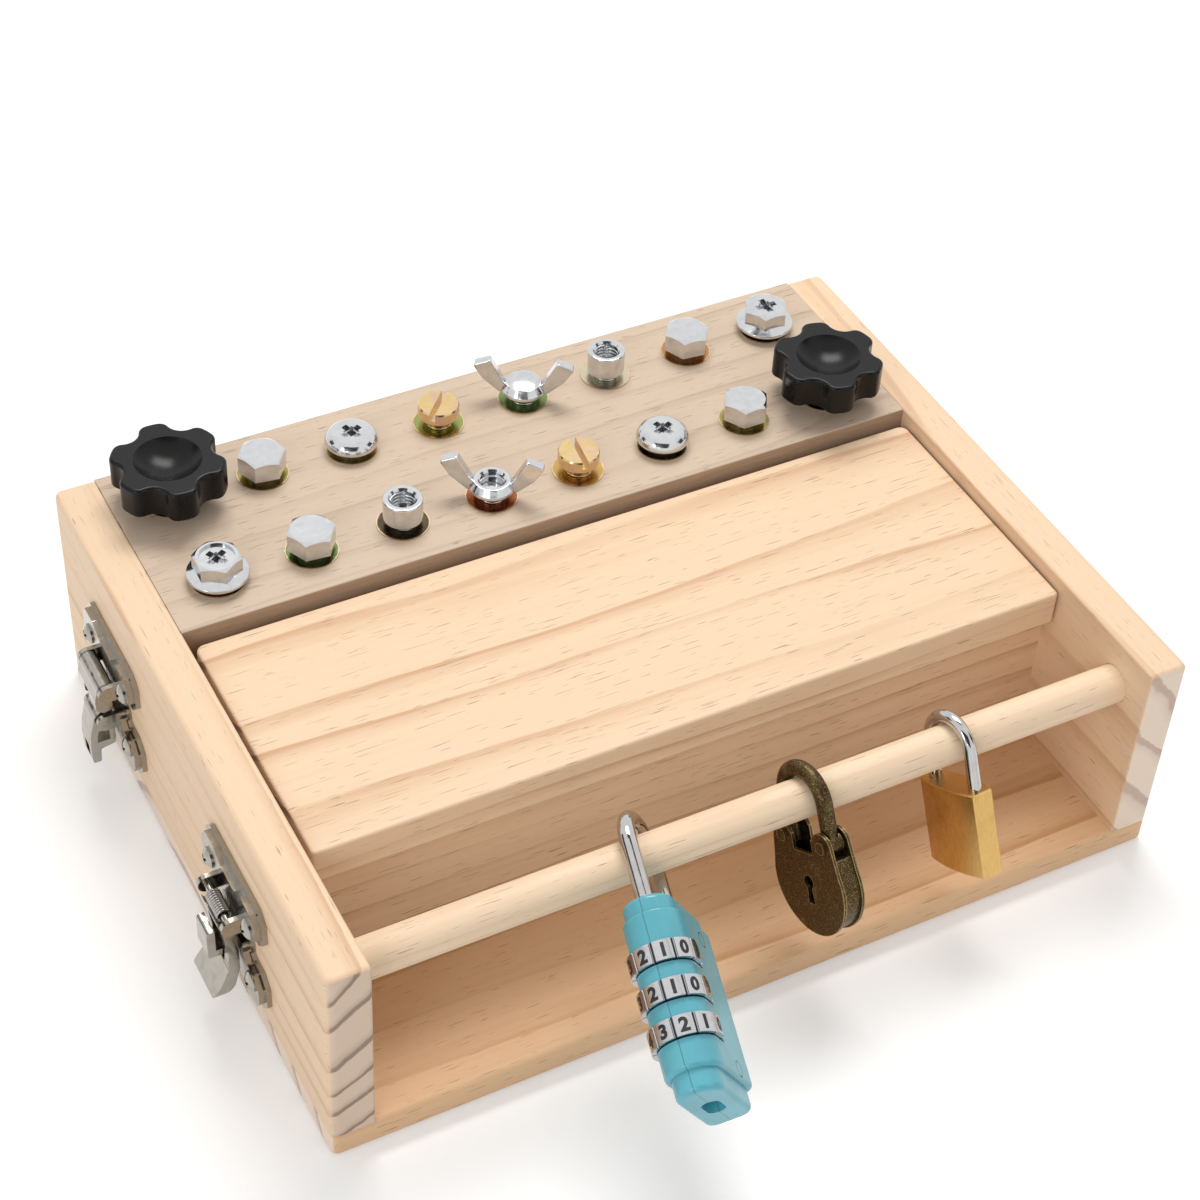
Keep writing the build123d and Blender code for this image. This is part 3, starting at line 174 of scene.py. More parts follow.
class Paint:
    """One material, built from a Principled surface."""

    def __init__(self, name):
        self.material = bpy.data.materials.new(name)
        self.material.use_nodes = True
        self.tree = self.material.node_tree
        self.surface = self.tree.nodes["Principled BSDF"]

    def add(self, kind, settings=None, inputs=None, output=0):
        node = self.tree.nodes.new(kind)
        for key, value in (settings or {}).items():
            if key == "stops":
                self.set_stops(node.color_ramp, value)
            else:
                setattr(node, key, value)
        for key, value in (inputs or {}).items():
            self.plug(self.find(node, key), value)
        outputs = {socket.identifier: socket for socket in node.outputs}
        return Number(self, outputs.get(output) or node.outputs[output])

    @staticmethod
    def find(node, key):
        named = {socket.identifier: socket for socket in node.inputs}
        return named.get(key) or node.inputs[key]

    @staticmethod
    def set_stops(color_ramp, stops):
        while len(color_ramp.elements) < len(stops):
            color_ramp.elements.new(1.0)
        for element, (place, color) in zip(color_ramp.elements, stops):
            element.position = place
            element.color = (*color, 1)

    def plug(self, socket, value):
        if isinstance(value, Number):
            self.tree.links.new(value.socket, socket)
        elif isinstance(value, tuple) and len(value) == 3 and socket.type == "RGBA":
            socket.default_value = (*value, 1)
        else:
            socket.default_value = value

    def finish(self, **values):
        """Sets the surface's sockets; underscores stand for spaces."""
        for key, value in values.items():
            self.plug(self.surface.inputs[key.replace("_", " ")], value)
        return self.material

    def place(self):
        """Object coordinates, in millimetres, as three numbers."""
        point = self.add("ShaderNodeTexCoord", output="Object")
        settings = {"operation": "SCALE"}
        scaled = self.add("ShaderNodeVectorMath", settings, {0: point, "Scale": 1 / MM})
        return [self.part(scaled, axis) for axis in "XYZ"]

    def part(self, vector, axis):
        """One coordinate of a vector; the axis is X, Y or Z."""
        return self.add("ShaderNodeSeparateXYZ", None, {0: vector}, axis)

    def dot(self, first, second):
        inputs = {0: first, 1: second}
        return self.add("ShaderNodeVectorMath", {"operation": "DOT_PRODUCT"}, inputs, "Value")

    def point(self, x, y, z):
        return self.add("ShaderNodeCombineXYZ", None, {"X": x, "Y": y, "Z": z})

    def noise(self, point, scale, detail=2.0, roughness=0.5, distortion=0.0):
        inputs = {"Vector": point, "Scale": scale, "Detail": detail}
        inputs.update({"Roughness": roughness, "Distortion": distortion})
        return self.add("ShaderNodeTexNoise", None, inputs)

    def mix(self, share, first, second, blend="MIX"):
        return self.add(
            "ShaderNodeMix",
            {"data_type": "RGBA", "blend_type": blend, "clamp_factor": True},
            {"Factor_Float": share, "A_Color": first, "B_Color": second},
            "Result_Color",
        )

    def bump(self, height, strength, distance):
        inputs = {"Height": height, "Strength": strength, "Distance": distance}
        return self.add("ShaderNodeBump", None, inputs)


def shaded(color, share):
    """A darker copy of a colour."""
    return tuple(share * c for c in color)


print("shader helpers ready")

# %% [markdown]
# ## Pine
#
# Grain isn't a pattern on a board's face. It is what a saw shows of the tree's rings, so the
# material keeps a tree inside each board: a pith line runs along the grain, and each ring is a
# distance from that line. Faces cut along the line then show stripes and long arches, and the
# ends show arcs, all from the same few nodes. Noise that is stretched along the grain bends
# the rings and adds fibres and short resin flecks.

# %% Pine
PALE = (0.82, 0.60, 0.405)
BAND = (0.62, 0.375, 0.215)
PALE_END = (0.70, 0.54, 0.415)
DARK_END = (0.29, 0.195, 0.145)
PITH_WANDER = (22.0, 9.0)
RING_RIPPLE = 0.28
RING_UNEVENNESS = 1.6
FIBRE_CONTRAST = 0.34
STREAK_CONTRAST = 0.45
FLECK_LEVELS = (0.755, 0.80)
FLECK_STRENGTH = 0.7
FLECK_SHADE = 0.36
SAWN_SHADE = 0.72
WOOD_ROUGHNESS = 0.46
WOOD_BUMP_STRENGTH = 0.22
WOOD_BUMP_DEPTH = 0.1 * MM


def pine(name, grain, pith, ring=8.0, depth=0.75, seed=0.0, colors=(PALE, BAND),
         ends=(PALE_END, DARK_END), flecks=1.0, sawn=None):
    """Pine whose tree runs along X (grain 0) or Y (grain 1).

    pith is the pith line's place across the board and its height, and ring is the rings'
    spacing, all in millimetres. sawn is the colour of the long edges, where it differs.
    """
    pale, band = colors
    wood = Paint(name)
    place = wood.place()
    along = place[grain]
    across = place[1 - grain]
    rise = place[2]

    def stretched(lengthwise, crosswise, shift, detail, roughness=0.5):
        """Noise that is drawn out along the grain."""
        point = wood.point(along * lengthwise, across * crosswise, rise * crosswise + shift)
        return wood.noise(point, 1.0, detail, roughness)

    slow = wood.point(along * 0.0035, across * 0.016 + seed, rise * 0.016)
    wander = wood.noise(slow, 1.0) - 0.5
    side = across - pith[0] + wander * PITH_WANDER[0]
    height = rise - pith[1] + wander * PITH_WANDER[1]
    radius = (side * side + height * height).root()

    ripple = stretched(0.010, 0.11, seed, detail=3.0)
    rings = radius / ring + ripple * RING_RIPPLE
    spacing = wood.noise(wood.point(rings * 0.35, seed + 3.0, 0.0), 1.0, detail=1.0)
    phase = (rings + spacing * RING_UNEVENNESS).fraction()
    line = phase.ramp(0.50, 0.92, 0.0, 0.55) + phase.ramp(0.84, 0.93, 0.0, 0.45)
    line = line * phase.ramp(0.955, 1.0, 1.0, 0.0)
    patch = stretched(0.007, 0.05, seed + 9.0, detail=2.0)
    late = line * patch.ramp(0.30, 0.68, 0.22, 1.0)

    fibre = stretched(0.05, 3.2, seed, detail=3.0, roughness=0.7)
    streak = stretched(0.012, 0.55, seed, detail=3.0)
    fleck = stretched(0.13, 3.4, seed + 5.0, detail=0.0).ramp(*FLECK_LEVELS) * flecks

    threads = (fibre - 0.5) * FIBRE_CONTRAST + (streak - 0.47) * STREAK_CONTRAST
    tone = (late * depth + threads).clamped()
    color = wood.mix(tone, pale, band)
    color = wood.mix(fleck * FLECK_STRENGTH, color, shaded(band, FLECK_SHADE))

    # End grain is pitted, greyer and darker, and its rings are broad and dark.
    normal = wood.add("ShaderNodeTexCoord", output="Normal")
    facing = wood.part(normal, "XYZ"[grain]).size().ramp(0.55, 0.9)
    pores = stretched(0.5, 4.0, 0.0, detail=3.0, roughness=0.8)
    broad = phase.ramp(0.50, 0.90, 0.0, 0.45) + phase.ramp(0.76, 0.84, 0.0, 0.5)
    broad = broad * phase.ramp(0.93, 0.99, 1.0, 0.0)
    end_tone = (broad + (pores - 0.5) * 0.9 + (fibre - 0.5) * 0.3).clamped()
    color = wood.mix(facing, color, wood.mix(end_tone, *ends))
    if sawn:
        edge = wood.part(normal, "XYZ"[1 - grain]).size().ramp(0.6, 0.9)
        sawn_face = wood.mix(fibre.ramp(0.3, 0.7), sawn, shaded(sawn, SAWN_SHADE))
        color = wood.mix(edge, color, sawn_face)

    height = fibre * 0.6 + late * 0.5 + facing * pores
    bump = wood.bump(height, WOOD_BUMP_STRENGTH, WOOD_BUMP_DEPTH)
    roughness = tone * 0.12 + WOOD_ROUGHNESS
    return wood.finish(
        Base_Color=color, Roughness=roughness, Normal=bump, Specular_IOR_Level=0.3
    )


def dress(node, material):
    """Gives a CAD node one material."""
    slots = nodes[node].data.materials
    slots.clear()
    slots.append(material)


WARM = ((0.77, 0.50, 0.29), (0.53, 0.275, 0.115))
TINTED = ((0.61, 0.475, 0.355), (0.43, 0.305, 0.22))
BOLD = ((0.80, 0.56, 0.365), (0.50, 0.285, 0.14))
PINKISH_ENDS = ((0.87, 0.71, 0.575), (0.57, 0.42, 0.335))
WHITISH = ((0.88, 0.675, 0.475), (0.66, 0.42, 0.25))
BOARDS = {
    "base_board": pine("base pine", 0, (0.0, -50.0), ring=14.0, depth=0.85, seed=1.3,
                       colors=WARM, ends=PINKISH_ENDS),
    "left_wall": pine("left wall pine", 1, (-197.0, 135.0), ring=9.5, seed=4.1),
    "right_wall": pine("right wall pine", 1, (43.0, -33.0), ring=15.0, seed=7.9,
                       ends=PINKISH_ENDS),
    "tray_wall": pine("tray wall pine", 0, (-80.0, -60.0), ring=11.0, depth=1.0, seed=2.2,
                      colors=BOLD),
    "panel_partition": pine("partition pine", 0, (60.0, -50.0), ring=7.0, seed=5.5),
    "back_wall": pine("back wall pine", 0, (130.0, -40.0), seed=8.4),
    "storage_lid": pine("lid pine", 0, (-130.0, -90.0), ring=13.0, depth=1.0, seed=3.7),
    "dowel": pine("dowel pine", 0, (-89.0, 40.0), ring=2.6, depth=0.6, seed=6.3, colors=WHITISH),
    "screw_panel": pine("tinted panel pine", 0, (-60.0, -90.0), ring=7.0, depth=0.6, seed=9.1,
                        colors=TINTED, flecks=1.3, sawn=(0.45, 0.31, 0.21)),
}
for board_name, board_material in BOARDS.items():
    dress(board_name, board_material)
print("boards:", ", ".join(BOARDS))

# %% [markdown]
# ## Metals
#
# Plated steel is a mirror with small faults: faint cloudiness, fine scratches and a slightly
# uneven surface. The faults show a little in its colour, roughness and bump. Cast pieces get
# a coarser bump than turned ones.

# %% Plated and bare metals
CLOUD_SHADE = 0.82
DENT_DEPTH = 0.6 * MM


def metal(name, color, rough, cloud=0.08, lumps=0.15, tarnish=None):
    plate = Paint(name)
    x, y, z = plate.place()
    point = plate.point(x, y, z)
    smoke = plate.noise(point, 0.35, detail=3.0)
    scratch = plate.noise(plate.point(x * 0.4, y * 3.0, z * 3.0), 0.6, detail=3.0, roughness=0.7)
    dents = plate.noise(point, 0.22, detail=1.0)
    base = plate.mix(smoke.ramp(0.35, 0.7, 0.0, 0.5), color, shaded(color, CLOUD_SHADE))
    if tarnish:
        stain = plate.noise(point, 0.16, distortion=0.4)
        base = plate.mix(stain.ramp(0.42, 0.66, 0.0, 0.8), base, tarnish)
    return plate.finish(
        Base_Color=base,
        Metallic=1.0,
        Roughness=rough + cloud * (smoke + scratch - 1.0),
        Normal=plate.bump(dents + scratch * 0.08, lumps, DENT_DEPTH),
    )


ZINC = metal("bright zinc plate", (0.66, 0.67, 0.685), 0.14, cloud=0.06)
YELLOW_ZINC = metal("yellow zinc plate", (0.72, 0.53, 0.25), 0.20, tarnish=(0.66, 0.45, 0.36))
NICKEL = metal("nickel plate", (0.42, 0.395, 0.35), 0.17, cloud=0.06, lumps=0.3)
STEEL = metal("polished shackle steel", (0.58, 0.565, 0.55), 0.09, cloud=0.03, lumps=0.04)
SPRING_STEEL = metal("spring steel", (0.42, 0.40, 0.38), 0.24)

fasteners = [name for name in nodes if name.startswith(("front_", "back_")) and name != "back_wall"]
for node_name in fasteners:
    dress(node_name, YELLOW_ZINC if "slotted" in node_name else ZINC)
for node_name in nodes:
    if "latch" in node_name:
        dress(node_name, NICKEL)
for node_name in ("brass_lock_shackle", "number_lock_shackle"):
    dress(node_name, STEEL)
for node_name in ("latch_springs", "number_lock_spindle"):
    dress(node_name, SPRING_STEEL)
print("metals on fasteners, latches and shackles")

# %% [markdown]
# ## Coloured insert discs
#
# Each threaded insert has a flange with its own colour. Copper, gold and green come from its
# iridescent plating, and the nearly black discs are painted shadow and reflection. A bright rim
# round each disc is a painted highlight on its edge. All the inserts are one node, so the colour
# comes from where a point lies: which column of the panel, and which row. Lengths are in
# millimetres.

# %% Insert discs
COLUMN_PITCH = 29.5
FIRST_COLUMN = -104.3
BACK_ROW = 85.1
FRONT_ROW = 46.7
# Disc colours: the copper, gold and green ones are plating, and the nearly black ones are painted
# shadow and reflection.
FRONT_TINTS_AND_SHADE = [(0.30, 0.075, 0.03), (0.12, 0.20, 0.08), (0.05, 0.04, 0.03), (0.30, 0.07, 0.03),
               (0.52, 0.33, 0.10), (0.03, 0.03, 0.03), (0.36, 0.30, 0.09), (0.05, 0.05, 0.05)]
BACK_TINTS_AND_SHADE = [(0.10, 0.08, 0.06), (0.34, 0.28, 0.10), (0.40, 0.32, 0.12), (0.28, 0.33, 0.10),
              (0.16, 0.26, 0.10), (0.60, 0.55, 0.42), (0.50, 0.24, 0.10), (0.06, 0.05, 0.04)]
DISC_RADIUS = 8.1
RIM_HIGHLIGHT_INSETS = (0.35, 0.05)


def insert_plating_and_highlight():
    plate = Paint("insert plating and painted highlight")
    x, y, z = plate.place()
    columns = len(FRONT_TINTS_AND_SHADE)
    count = (x - FIRST_COLUMN) / COLUMN_PITCH + 0.5

    def row(tints):
        stops = [(i / columns, tint_and_shade) for i, tint_and_shade in enumerate(tints)]
        inputs = {"Fac": count / columns}
        ramp = plate.add("ShaderNodeValToRGB", {"stops": stops}, inputs, "Color")
        ramp.socket.node.color_ramp.interpolation = "CONSTANT"
        return ramp

    tint_and_shade = plate.mix(y > (FRONT_ROW + BACK_ROW) / 2, row(FRONT_TINTS_AND_SHADE), row(BACK_TINTS_AND_SHADE))
    cell = (count.fraction() - 0.5) * COLUMN_PITCH
    near = y.maths("MINIMUM", (y - FRONT_ROW).size(), (y - BACK_ROW).size())
    radius = (cell * cell + near * near).root()
    smoke = plate.noise(plate.point(x, y, z), 0.5, detail=3.0)
    # The bright rim is a painted highlight where the disc's edge catches the light.
    rim_highlight = (radius + smoke * 0.3).ramp(*(DISC_RADIUS - inset for inset in RIM_HIGHLIGHT_INSETS))
    color = plate.mix(rim_highlight, plate.mix(smoke * 0.35, tint_and_shade, (0.30, 0.22, 0.12)), (0.62, 0.48, 0.30))
    return plate.finish(Base_Color=color, Metallic=1.0, Roughness=smoke * 0.15 + 0.16)


dress("threaded_inserts", insert_plating_and_highlight())
print("insert discs:", 2 * len(FRONT_TINTS_AND_SHADE))

# %% [markdown]
# ## The number padlock's own frame
#
# The number padlock hangs askew, so its paint and its numbers are laid out in its own frame.
# The joint that turns its first ring gives the way up along the legs and the rings' centre line,
# and the dowel's centre line gives the way to the front.

# %% Lock frame
RING_DIGITS = 10
joints = {joint["name"]: joint for joint in frame["joints"]}
ring_joints = [joints[f"number_dial_{i}_turn"] for i in (1, 2, 3)]
LOCK_UP = Vector(ring_joints[0]["axis"]).normalized()
LOCK_TOP = Vector(joints["number_lock_swing"]["pos_m"])
RING_CENTER = Vector(ring_joints[0]["pos_m"])
LOCK_FRONT = RING_CENTER - LOCK_TOP
LOCK_FRONT = (LOCK_FRONT - LOCK_FRONT.dot(LOCK_UP) * LOCK_UP).normalized()
LOCK_SIDE = LOCK_FRONT.cross(LOCK_UP)


def lock_place(paint, origin):
    """Object coordinates in the lock's frame, in millimetres: front, up and side of a point."""
    point = paint.add("ShaderNodeTexCoord", output="Object")
    inputs = {0: point, 1: origin}
    shifted = paint.add("ShaderNodeVectorMath", {"operation": "SUBTRACT"}, inputs)
    return [paint.dot(shifted, way / MM) for way in (LOCK_FRONT, LOCK_UP, LOCK_SIDE)]


print("lock up", [round(c, 3) for c in LOCK_UP], "front", [round(c, 3) for c in LOCK_FRONT])

# %% [markdown]
# ## Padlock metals and plastics
#
# The brass body is extruded bar with long brush marks. The bronze lock is dark, with colour
# rubbed off wherever an edge stands proud. The plastics are moulded: even in colour, with a
# soft sheen and a very slight orange-peel surface.

# %% Brass, bronze and plastic
BRUSH_DEPTH = 0.1 * MM
BEVEL_RADIUS = 0.6 * MM
BLOTCH_DEPTH = 0.2 * MM
PEEL_DEPTH = 0.06 * MM
RIVET_RING = (1.8, 1.95, 2.3, 2.45)
GROOVE_SHADE_EDGES = (0.03, 0.06)


def brushed_brass():
    brass = Paint("brushed brass")
    x, y, z = brass.place()
    drawn_out = brass.point(x * 6.0, y * 0.4, z * 0.4)
    strokes = brass.noise(drawn_out, 1.0, detail=4.0, roughness=0.7)
    cloud = brass.noise(brass.point(x, y, z), 0.12)
    color = brass.mix(strokes, (0.50, 0.275, 0.065), (0.88, 0.61, 0.25))
    color = brass.mix(cloud.ramp(0.5, 0.8, 0.0, 0.4), color, (0.42, 0.22, 0.05))
    bump = brass.bump(strokes, 0.4, BRUSH_DEPTH)
    roughness = strokes * 0.16 + 0.22
    return brass.finish(Base_Color=color, Metallic=1.0, Roughness=roughness, Normal=bump)


def aged_bronze():
    bronze = Paint("aged bronze")
    x, y, z = bronze.place()
    point = bronze.point(x, y, z)
    flat = bronze.add("ShaderNodeNewGeometry", None, None, "Normal")
    rounded = bronze.add("ShaderNodeBevel", {"samples": 8}, {"Radius": BEVEL_RADIUS})
    blotch = bronze.noise(point, 0.6, detail=4.0, roughness=0.65)
    worn = (1.0 - bronze.dot(flat, rounded)).ramp(0.01, 0.16) * blotch.ramp(0.25, 0.6, 0.35, 1.0)
    rub = bronze.noise(point, 0.14, detail=3.0).ramp(0.55, 0.8, 0.0, 0.25)
    base = bronze.mix(blotch, (0.020, 0.012, 0.004), (0.115, 0.075, 0.028))
    specks = bronze.noise(point, 2.4).ramp(0.52, 0.66, 0.0, 0.35)
    color = bronze.mix((worn + rub + specks).clamped(), base, (0.50, 0.37, 0.17))
    bump = bronze.bump(blotch, 0.35, BLOTCH_DEPTH)
    roughness = blotch * 0.2 + 0.3
    return bronze.finish(Base_Color=color, Metallic=0.9, Roughness=roughness, Normal=bump)


def moulded(name, color, rough, shine=0.5, rivets=()):
    """Moulded plastic. Rivets, given in the lock's frame, bring dark rings and the shells' seam."""
    plastic = Paint(name)
    x, y, z = plastic.place()
    point = plastic.point(x, y, z)
    peel = plastic.noise(point, 1.6)
    haze = plastic.noise(point, 0.08)
    base = plastic.mix(haze.ramp(0.3, 0.7), color, shaded(color, 0.9))
    if rivets:
        front, up, side = lock_place(plastic, LOCK_TOP)
        seam = side.size().ramp(0.08, 0.2, 1.0, 0.0)
        base = plastic.mix(seam * 0.6, base, shaded(color, 0.25))
    for rivet_front, rivet_up in rivets:
        radius = ((front - rivet_front) ** 2.0 + (up - rivet_up) ** 2.0).root()
        ring = radius.ramp(*RIVET_RING[:2]) * radius.ramp(*RIVET_RING[2:], 1.0, 0.0)
        base = plastic.mix(ring * 0.85, base, shaded(color, 0.12))
    bump = plastic.bump(peel, 0.12, PEEL_DEPTH)
    roughness = rough + peel * 0.08
    return plastic.finish(
        Base_Color=base, Roughness=roughness, Normal=bump, Specular_IOR_Level=shine
    )


def number_ring_metal():
    """Bright rings with a dark line between one number and the next, which is painted shade for the
    groove there.
    """
    ring = Paint("number ring metal")
    front, up, side = lock_place(ring, RING_CENTER)
    turn = ring.add("ShaderNodeMath", {"operation": "ARCTAN2"}, {0: side, 1: front})
    from_groove = ((turn * (RING_DIGITS / (2 * pi)) + 0.5).fraction() - 0.5).size()
    painted_groove_shade = from_groove.ramp(*GROOVE_SHADE_EDGES, 1.0, 0.0)
    smoke = ring.noise(ring.point(front, up, side), 0.8, detail=3.0)
    bright = ring.mix(smoke, (0.66, 0.66, 0.67), (0.52, 0.52, 0.54))
    # The near-black line is painted shade standing in for the groove between numbers.
    color = ring.mix(painted_groove_shade, bright, (0.04, 0.04, 0.045))
    return ring.finish(Base_Color=color, Metallic=1.0, Roughness=smoke * 0.12 + 0.16)


BRASS = brushed_brass()
BRONZE = aged_bronze()
LOCK_RIVETS = ((-5.0, -27.0), (-5.0, -64.4))
TURQUOISE = moulded("turquoise plastic", (0.105, 0.43, 0.52), 0.20, shine=0.6, rivets=LOCK_RIVETS)
BLACK = moulded("black plastic", (0.0045, 0.0045, 0.005), 0.24, shine=0.22)
RING_METAL = number_ring_metal()
for node_name in nodes:
    if node_name.startswith("bronze_lock"):
        dress(node_name, BRONZE)
    if node_name.startswith("number_lock_dial"):
        dress(node_name, RING_METAL)
    if node_name.endswith("shell") or node_name == "number_lock_rivets":
        dress(node_name, TURQUOISE)
    if node_name.endswith("star_knob"):
        dress(node_name, BLACK)
dress("brass_lock_body", BRASS)
dress("brass_lock_plug", BRASS)
print("padlocks and knobs painted")

# %% [markdown]
# ## Threads and springs
#
# A screw thread and a coil spring are the same shape: a wire that climbs as it turns. One
# Geometry Nodes tree draws both, from a radius, a number of turns, a height and a wire
# thickness. Each result becomes a plain mesh and is then laid along its own axis.

# %% The coil tree
COIL_INPUTS = (("Radius", 0.004), ("Turns", 4.0), ("Height", 0.005), ("Wire", 0.0003))
STEPS_PER_TURN = 28
WIRE_SIDES = 8


def coil_tree():
    tree = bpy.data.node_groups.new("coil", "GeometryNodeTree")
    for label, value in COIL_INPUTS:
        socket = tree.interface.new_socket(label, in_out="INPUT", socket_type="NodeSocketFloat")
        socket.default_value = value
    tree.interface.new_socket("Metal", in_out="INPUT", socket_type="NodeSocketMaterial")
    tree.interface.new_socket("Coil", in_out="OUTPUT", socket_type="NodeSocketGeometry")
    given = tree.nodes.new("NodeGroupInput").outputs
    spiral = tree.nodes.new("GeometryNodeCurveSpiral")
    spiral.inputs["Resolution"].default_value = STEPS_PER_TURN
    wire = tree.nodes.new("GeometryNodeCurvePrimitiveCircle")
    wire.inputs["Resolution"].default_value = WIRE_SIDES
    sweep = tree.nodes.new("GeometryNodeCurveToMesh")
    sweep.inputs["Fill Caps"].default_value = True
    smooth = tree.nodes.new("GeometryNodeSetShadeSmooth")
    real = tree.nodes.new("GeometryNodeRealizeInstances")
    painted = tree.nodes.new("GeometryNodeSetMaterial")
    result = tree.nodes.new("NodeGroupOutput")
    for start, end in (
        (given["Radius"], spiral.inputs["Start Radius"]),
        (given["Radius"], spiral.inputs["End Radius"]),
        (given["Turns"], spiral.inputs["Rotations"]),
        (given["Height"], spiral.inputs["Height"]),
        (given["Wire"], wire.inputs["Radius"]),
        (spiral.outputs["Curve"], sweep.inputs["Curve"]),
        (wire.outputs["Curve"], sweep.inputs["Profile Curve"]),
        (sweep.outputs["Mesh"], smooth.inputs["Geometry"]),
        (smooth.outputs["Geometry"], real.inputs["Geometry"]),
        (real.outputs["Geometry"], painted.inputs["Geometry"]),
        (given["Metal"], painted.inputs["Material"]),
        (painted.outputs["Geometry"], result.inputs["Coil"]),
    ):
        tree.links.new(start, end)
    return tree


COIL_TREE = coil_tree()


def coil_mesh(shape, metal_paint, where):
    """One coil as a plain mesh, turned and moved by the matrix `where`."""
    carrier = bpy.data.objects.new("coil carrier", bpy.data.meshes.new("coil carrier"))
    bpy.context.scene.collection.objects.link(carrier)
    modifier = carrier.modifiers.new("coil", "NODES")
    modifier.node_group = COIL_TREE
    items = COIL_TREE.interface.items_tree
    named = {item.name: item.identifier for item in items if item.in_out == "INPUT"}
    for label, value in shape.items():
        modifier[named[label]] = value
    modifier[named["Metal"]] = metal_paint
    evaluated = carrier.evaluated_get(bpy.context.evaluated_depsgraph_get())
    mesh = bpy.data.meshes.new_from_object(evaluated)
    mesh.transform(where)
    bpy.data.objects.remove(carrier)
    return mesh


def add_piece(name, meshes, body):
    """Joins meshes that are already in place into one piece that rides on a body."""
    joined = bmesh.new()
    for mesh in meshes:
        joined.from_mesh(mesh)
    bmesh.ops.recalc_face_normals(joined, faces=joined.faces)
    whole = bpy.data.meshes.new(name)
    joined.to_mesh(whole)
    joined.free()
    for material in meshes[0].materials:
        whole.materials.append(material)
    piece = bpy.data.objects.new(name, whole)
    bpy.context.scene.collection.objects.link(piece)
    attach(piece, body)
    return piece


print("coil tree has", len(COIL_TREE.nodes), "nodes")

# %% Threads on the fasteners
THREAD_PITCH = 1.25 * MM
SHANK_RADIUS = 4.0 * MM
SOCKET_RADIUS = 3.8 * MM
BARREL_DEPTH = 6.0 * MM
WING_DEPTH = 3.2 * MM
WING_HUB_TOP = 6.6 * MM
DISC_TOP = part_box("threaded_inserts")[1][2]
SHOWN_THREAD = 1.9 * MM
THREAD_WIRE = 0.32 * MM


def upright_coil(low, high, radius, center, plating=ZINC):
    turns = (high - low) / THREAD_PITCH
    shape = {"Radius": radius, "Turns": turns, "Height": high - low, "Wire": THREAD_WIRE}
    return coil_mesh(shape, plating, Matrix.Translation((center[0], center[1], low)))


for node_name in fasteners:
    low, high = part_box(node_name)
    center = ((low[0] + high[0]) / 2, (low[1] + high[1]) / 2)
    plating, slot_name = ZINC, "zinc_plate"
    if "slotted" in node_name:
        plating, slot_name = YELLOW_ZINC, "yellow_zinc"
    meshes = [upright_coil(DISC_TOP, DISC_TOP + SHOWN_THREAD, SHANK_RADIUS, center, plating)]
    socket_top, socket_depth = None, 0.0
    if "barrel" in node_name:
        socket_top, socket_depth = high[2], BARREL_DEPTH
    if node_name == "front_wing_nut":
        socket_top, socket_depth = DISC_TOP + WING_HUB_TOP, WING_DEPTH
    if socket_top:
        bottom, top = socket_top - socket_depth, socket_top - THREAD_PITCH
        meshes.append(upright_coil(bottom, top, SOCKET_RADIUS, center))
    add_piece(f"{node_name}_thread", meshes, f"{node_name}_body")
print("threads on", len(fasteners), "fasteners")

# %% Latch springs
SPRING_WIRE = 0.42 * MM
SPRING_PITCH = 0.95 * MM
spring_low, spring_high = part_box("latch_springs")
spring_radius = (spring_high[2] - spring_low[2]) / 2
spring_height = (spring_high[2] + spring_low[2]) / 2
springs = []
for out in (spring_low[0] + spring_radius, spring_high[0] - spring_radius):
    reach = spring_high[1] - spring_low[1]
    shape = {
        "Radius": spring_radius - SPRING_WIRE,
        "Turns": reach / SPRING_PITCH,
        "Height": reach - 2 * SPRING_WIRE,
        "Wire": SPRING_WIRE,
    }
    start = Matrix.Translation((out, spring_high[1] - SPRING_WIRE, spring_height))
    springs.append(coil_mesh(shape, SPRING_STEEL, start @ Matrix.Rotation(pi / 2, 4, "X")))
coil_springs = add_piece("coil_springs", springs, "board")
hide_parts("latch_springs")
print("springs:", len(springs))

# %% [markdown]
# ## Number rings
#
# Each ring of the number padlock carries ten numbers. A number is made as flat text, sliced
# into narrow strips so that it can bend, and wrapped round the ring a hair above its surface.

# %% Numbers round the rings
FIRST_DIGITS = (2, 2, 3)
RING_RADIUS = 9.7 * MM
DIGIT_HEIGHT = 4.1 * MM
DIGIT_LIFT = 0.04 * MM
DIGIT_BOLDNESS = 0.045
DIGIT_SMOOTHNESS = 3
STRIPS = 8


def black_ink():
    ink = Paint("number ink")
    x, y, z = ink.place()
    wear = ink.noise(ink.point(x, y, z), 1.2, detail=3.0)
    color = ink.mix(wear.ramp(0.55, 0.75, 0.0, 0.5), (0.012, 0.012, 0.013), (0.08, 0.08, 0.085))
    return ink.finish(Base_Color=color, Roughness=wear * 0.2 + 0.35)


INK = black_ink()


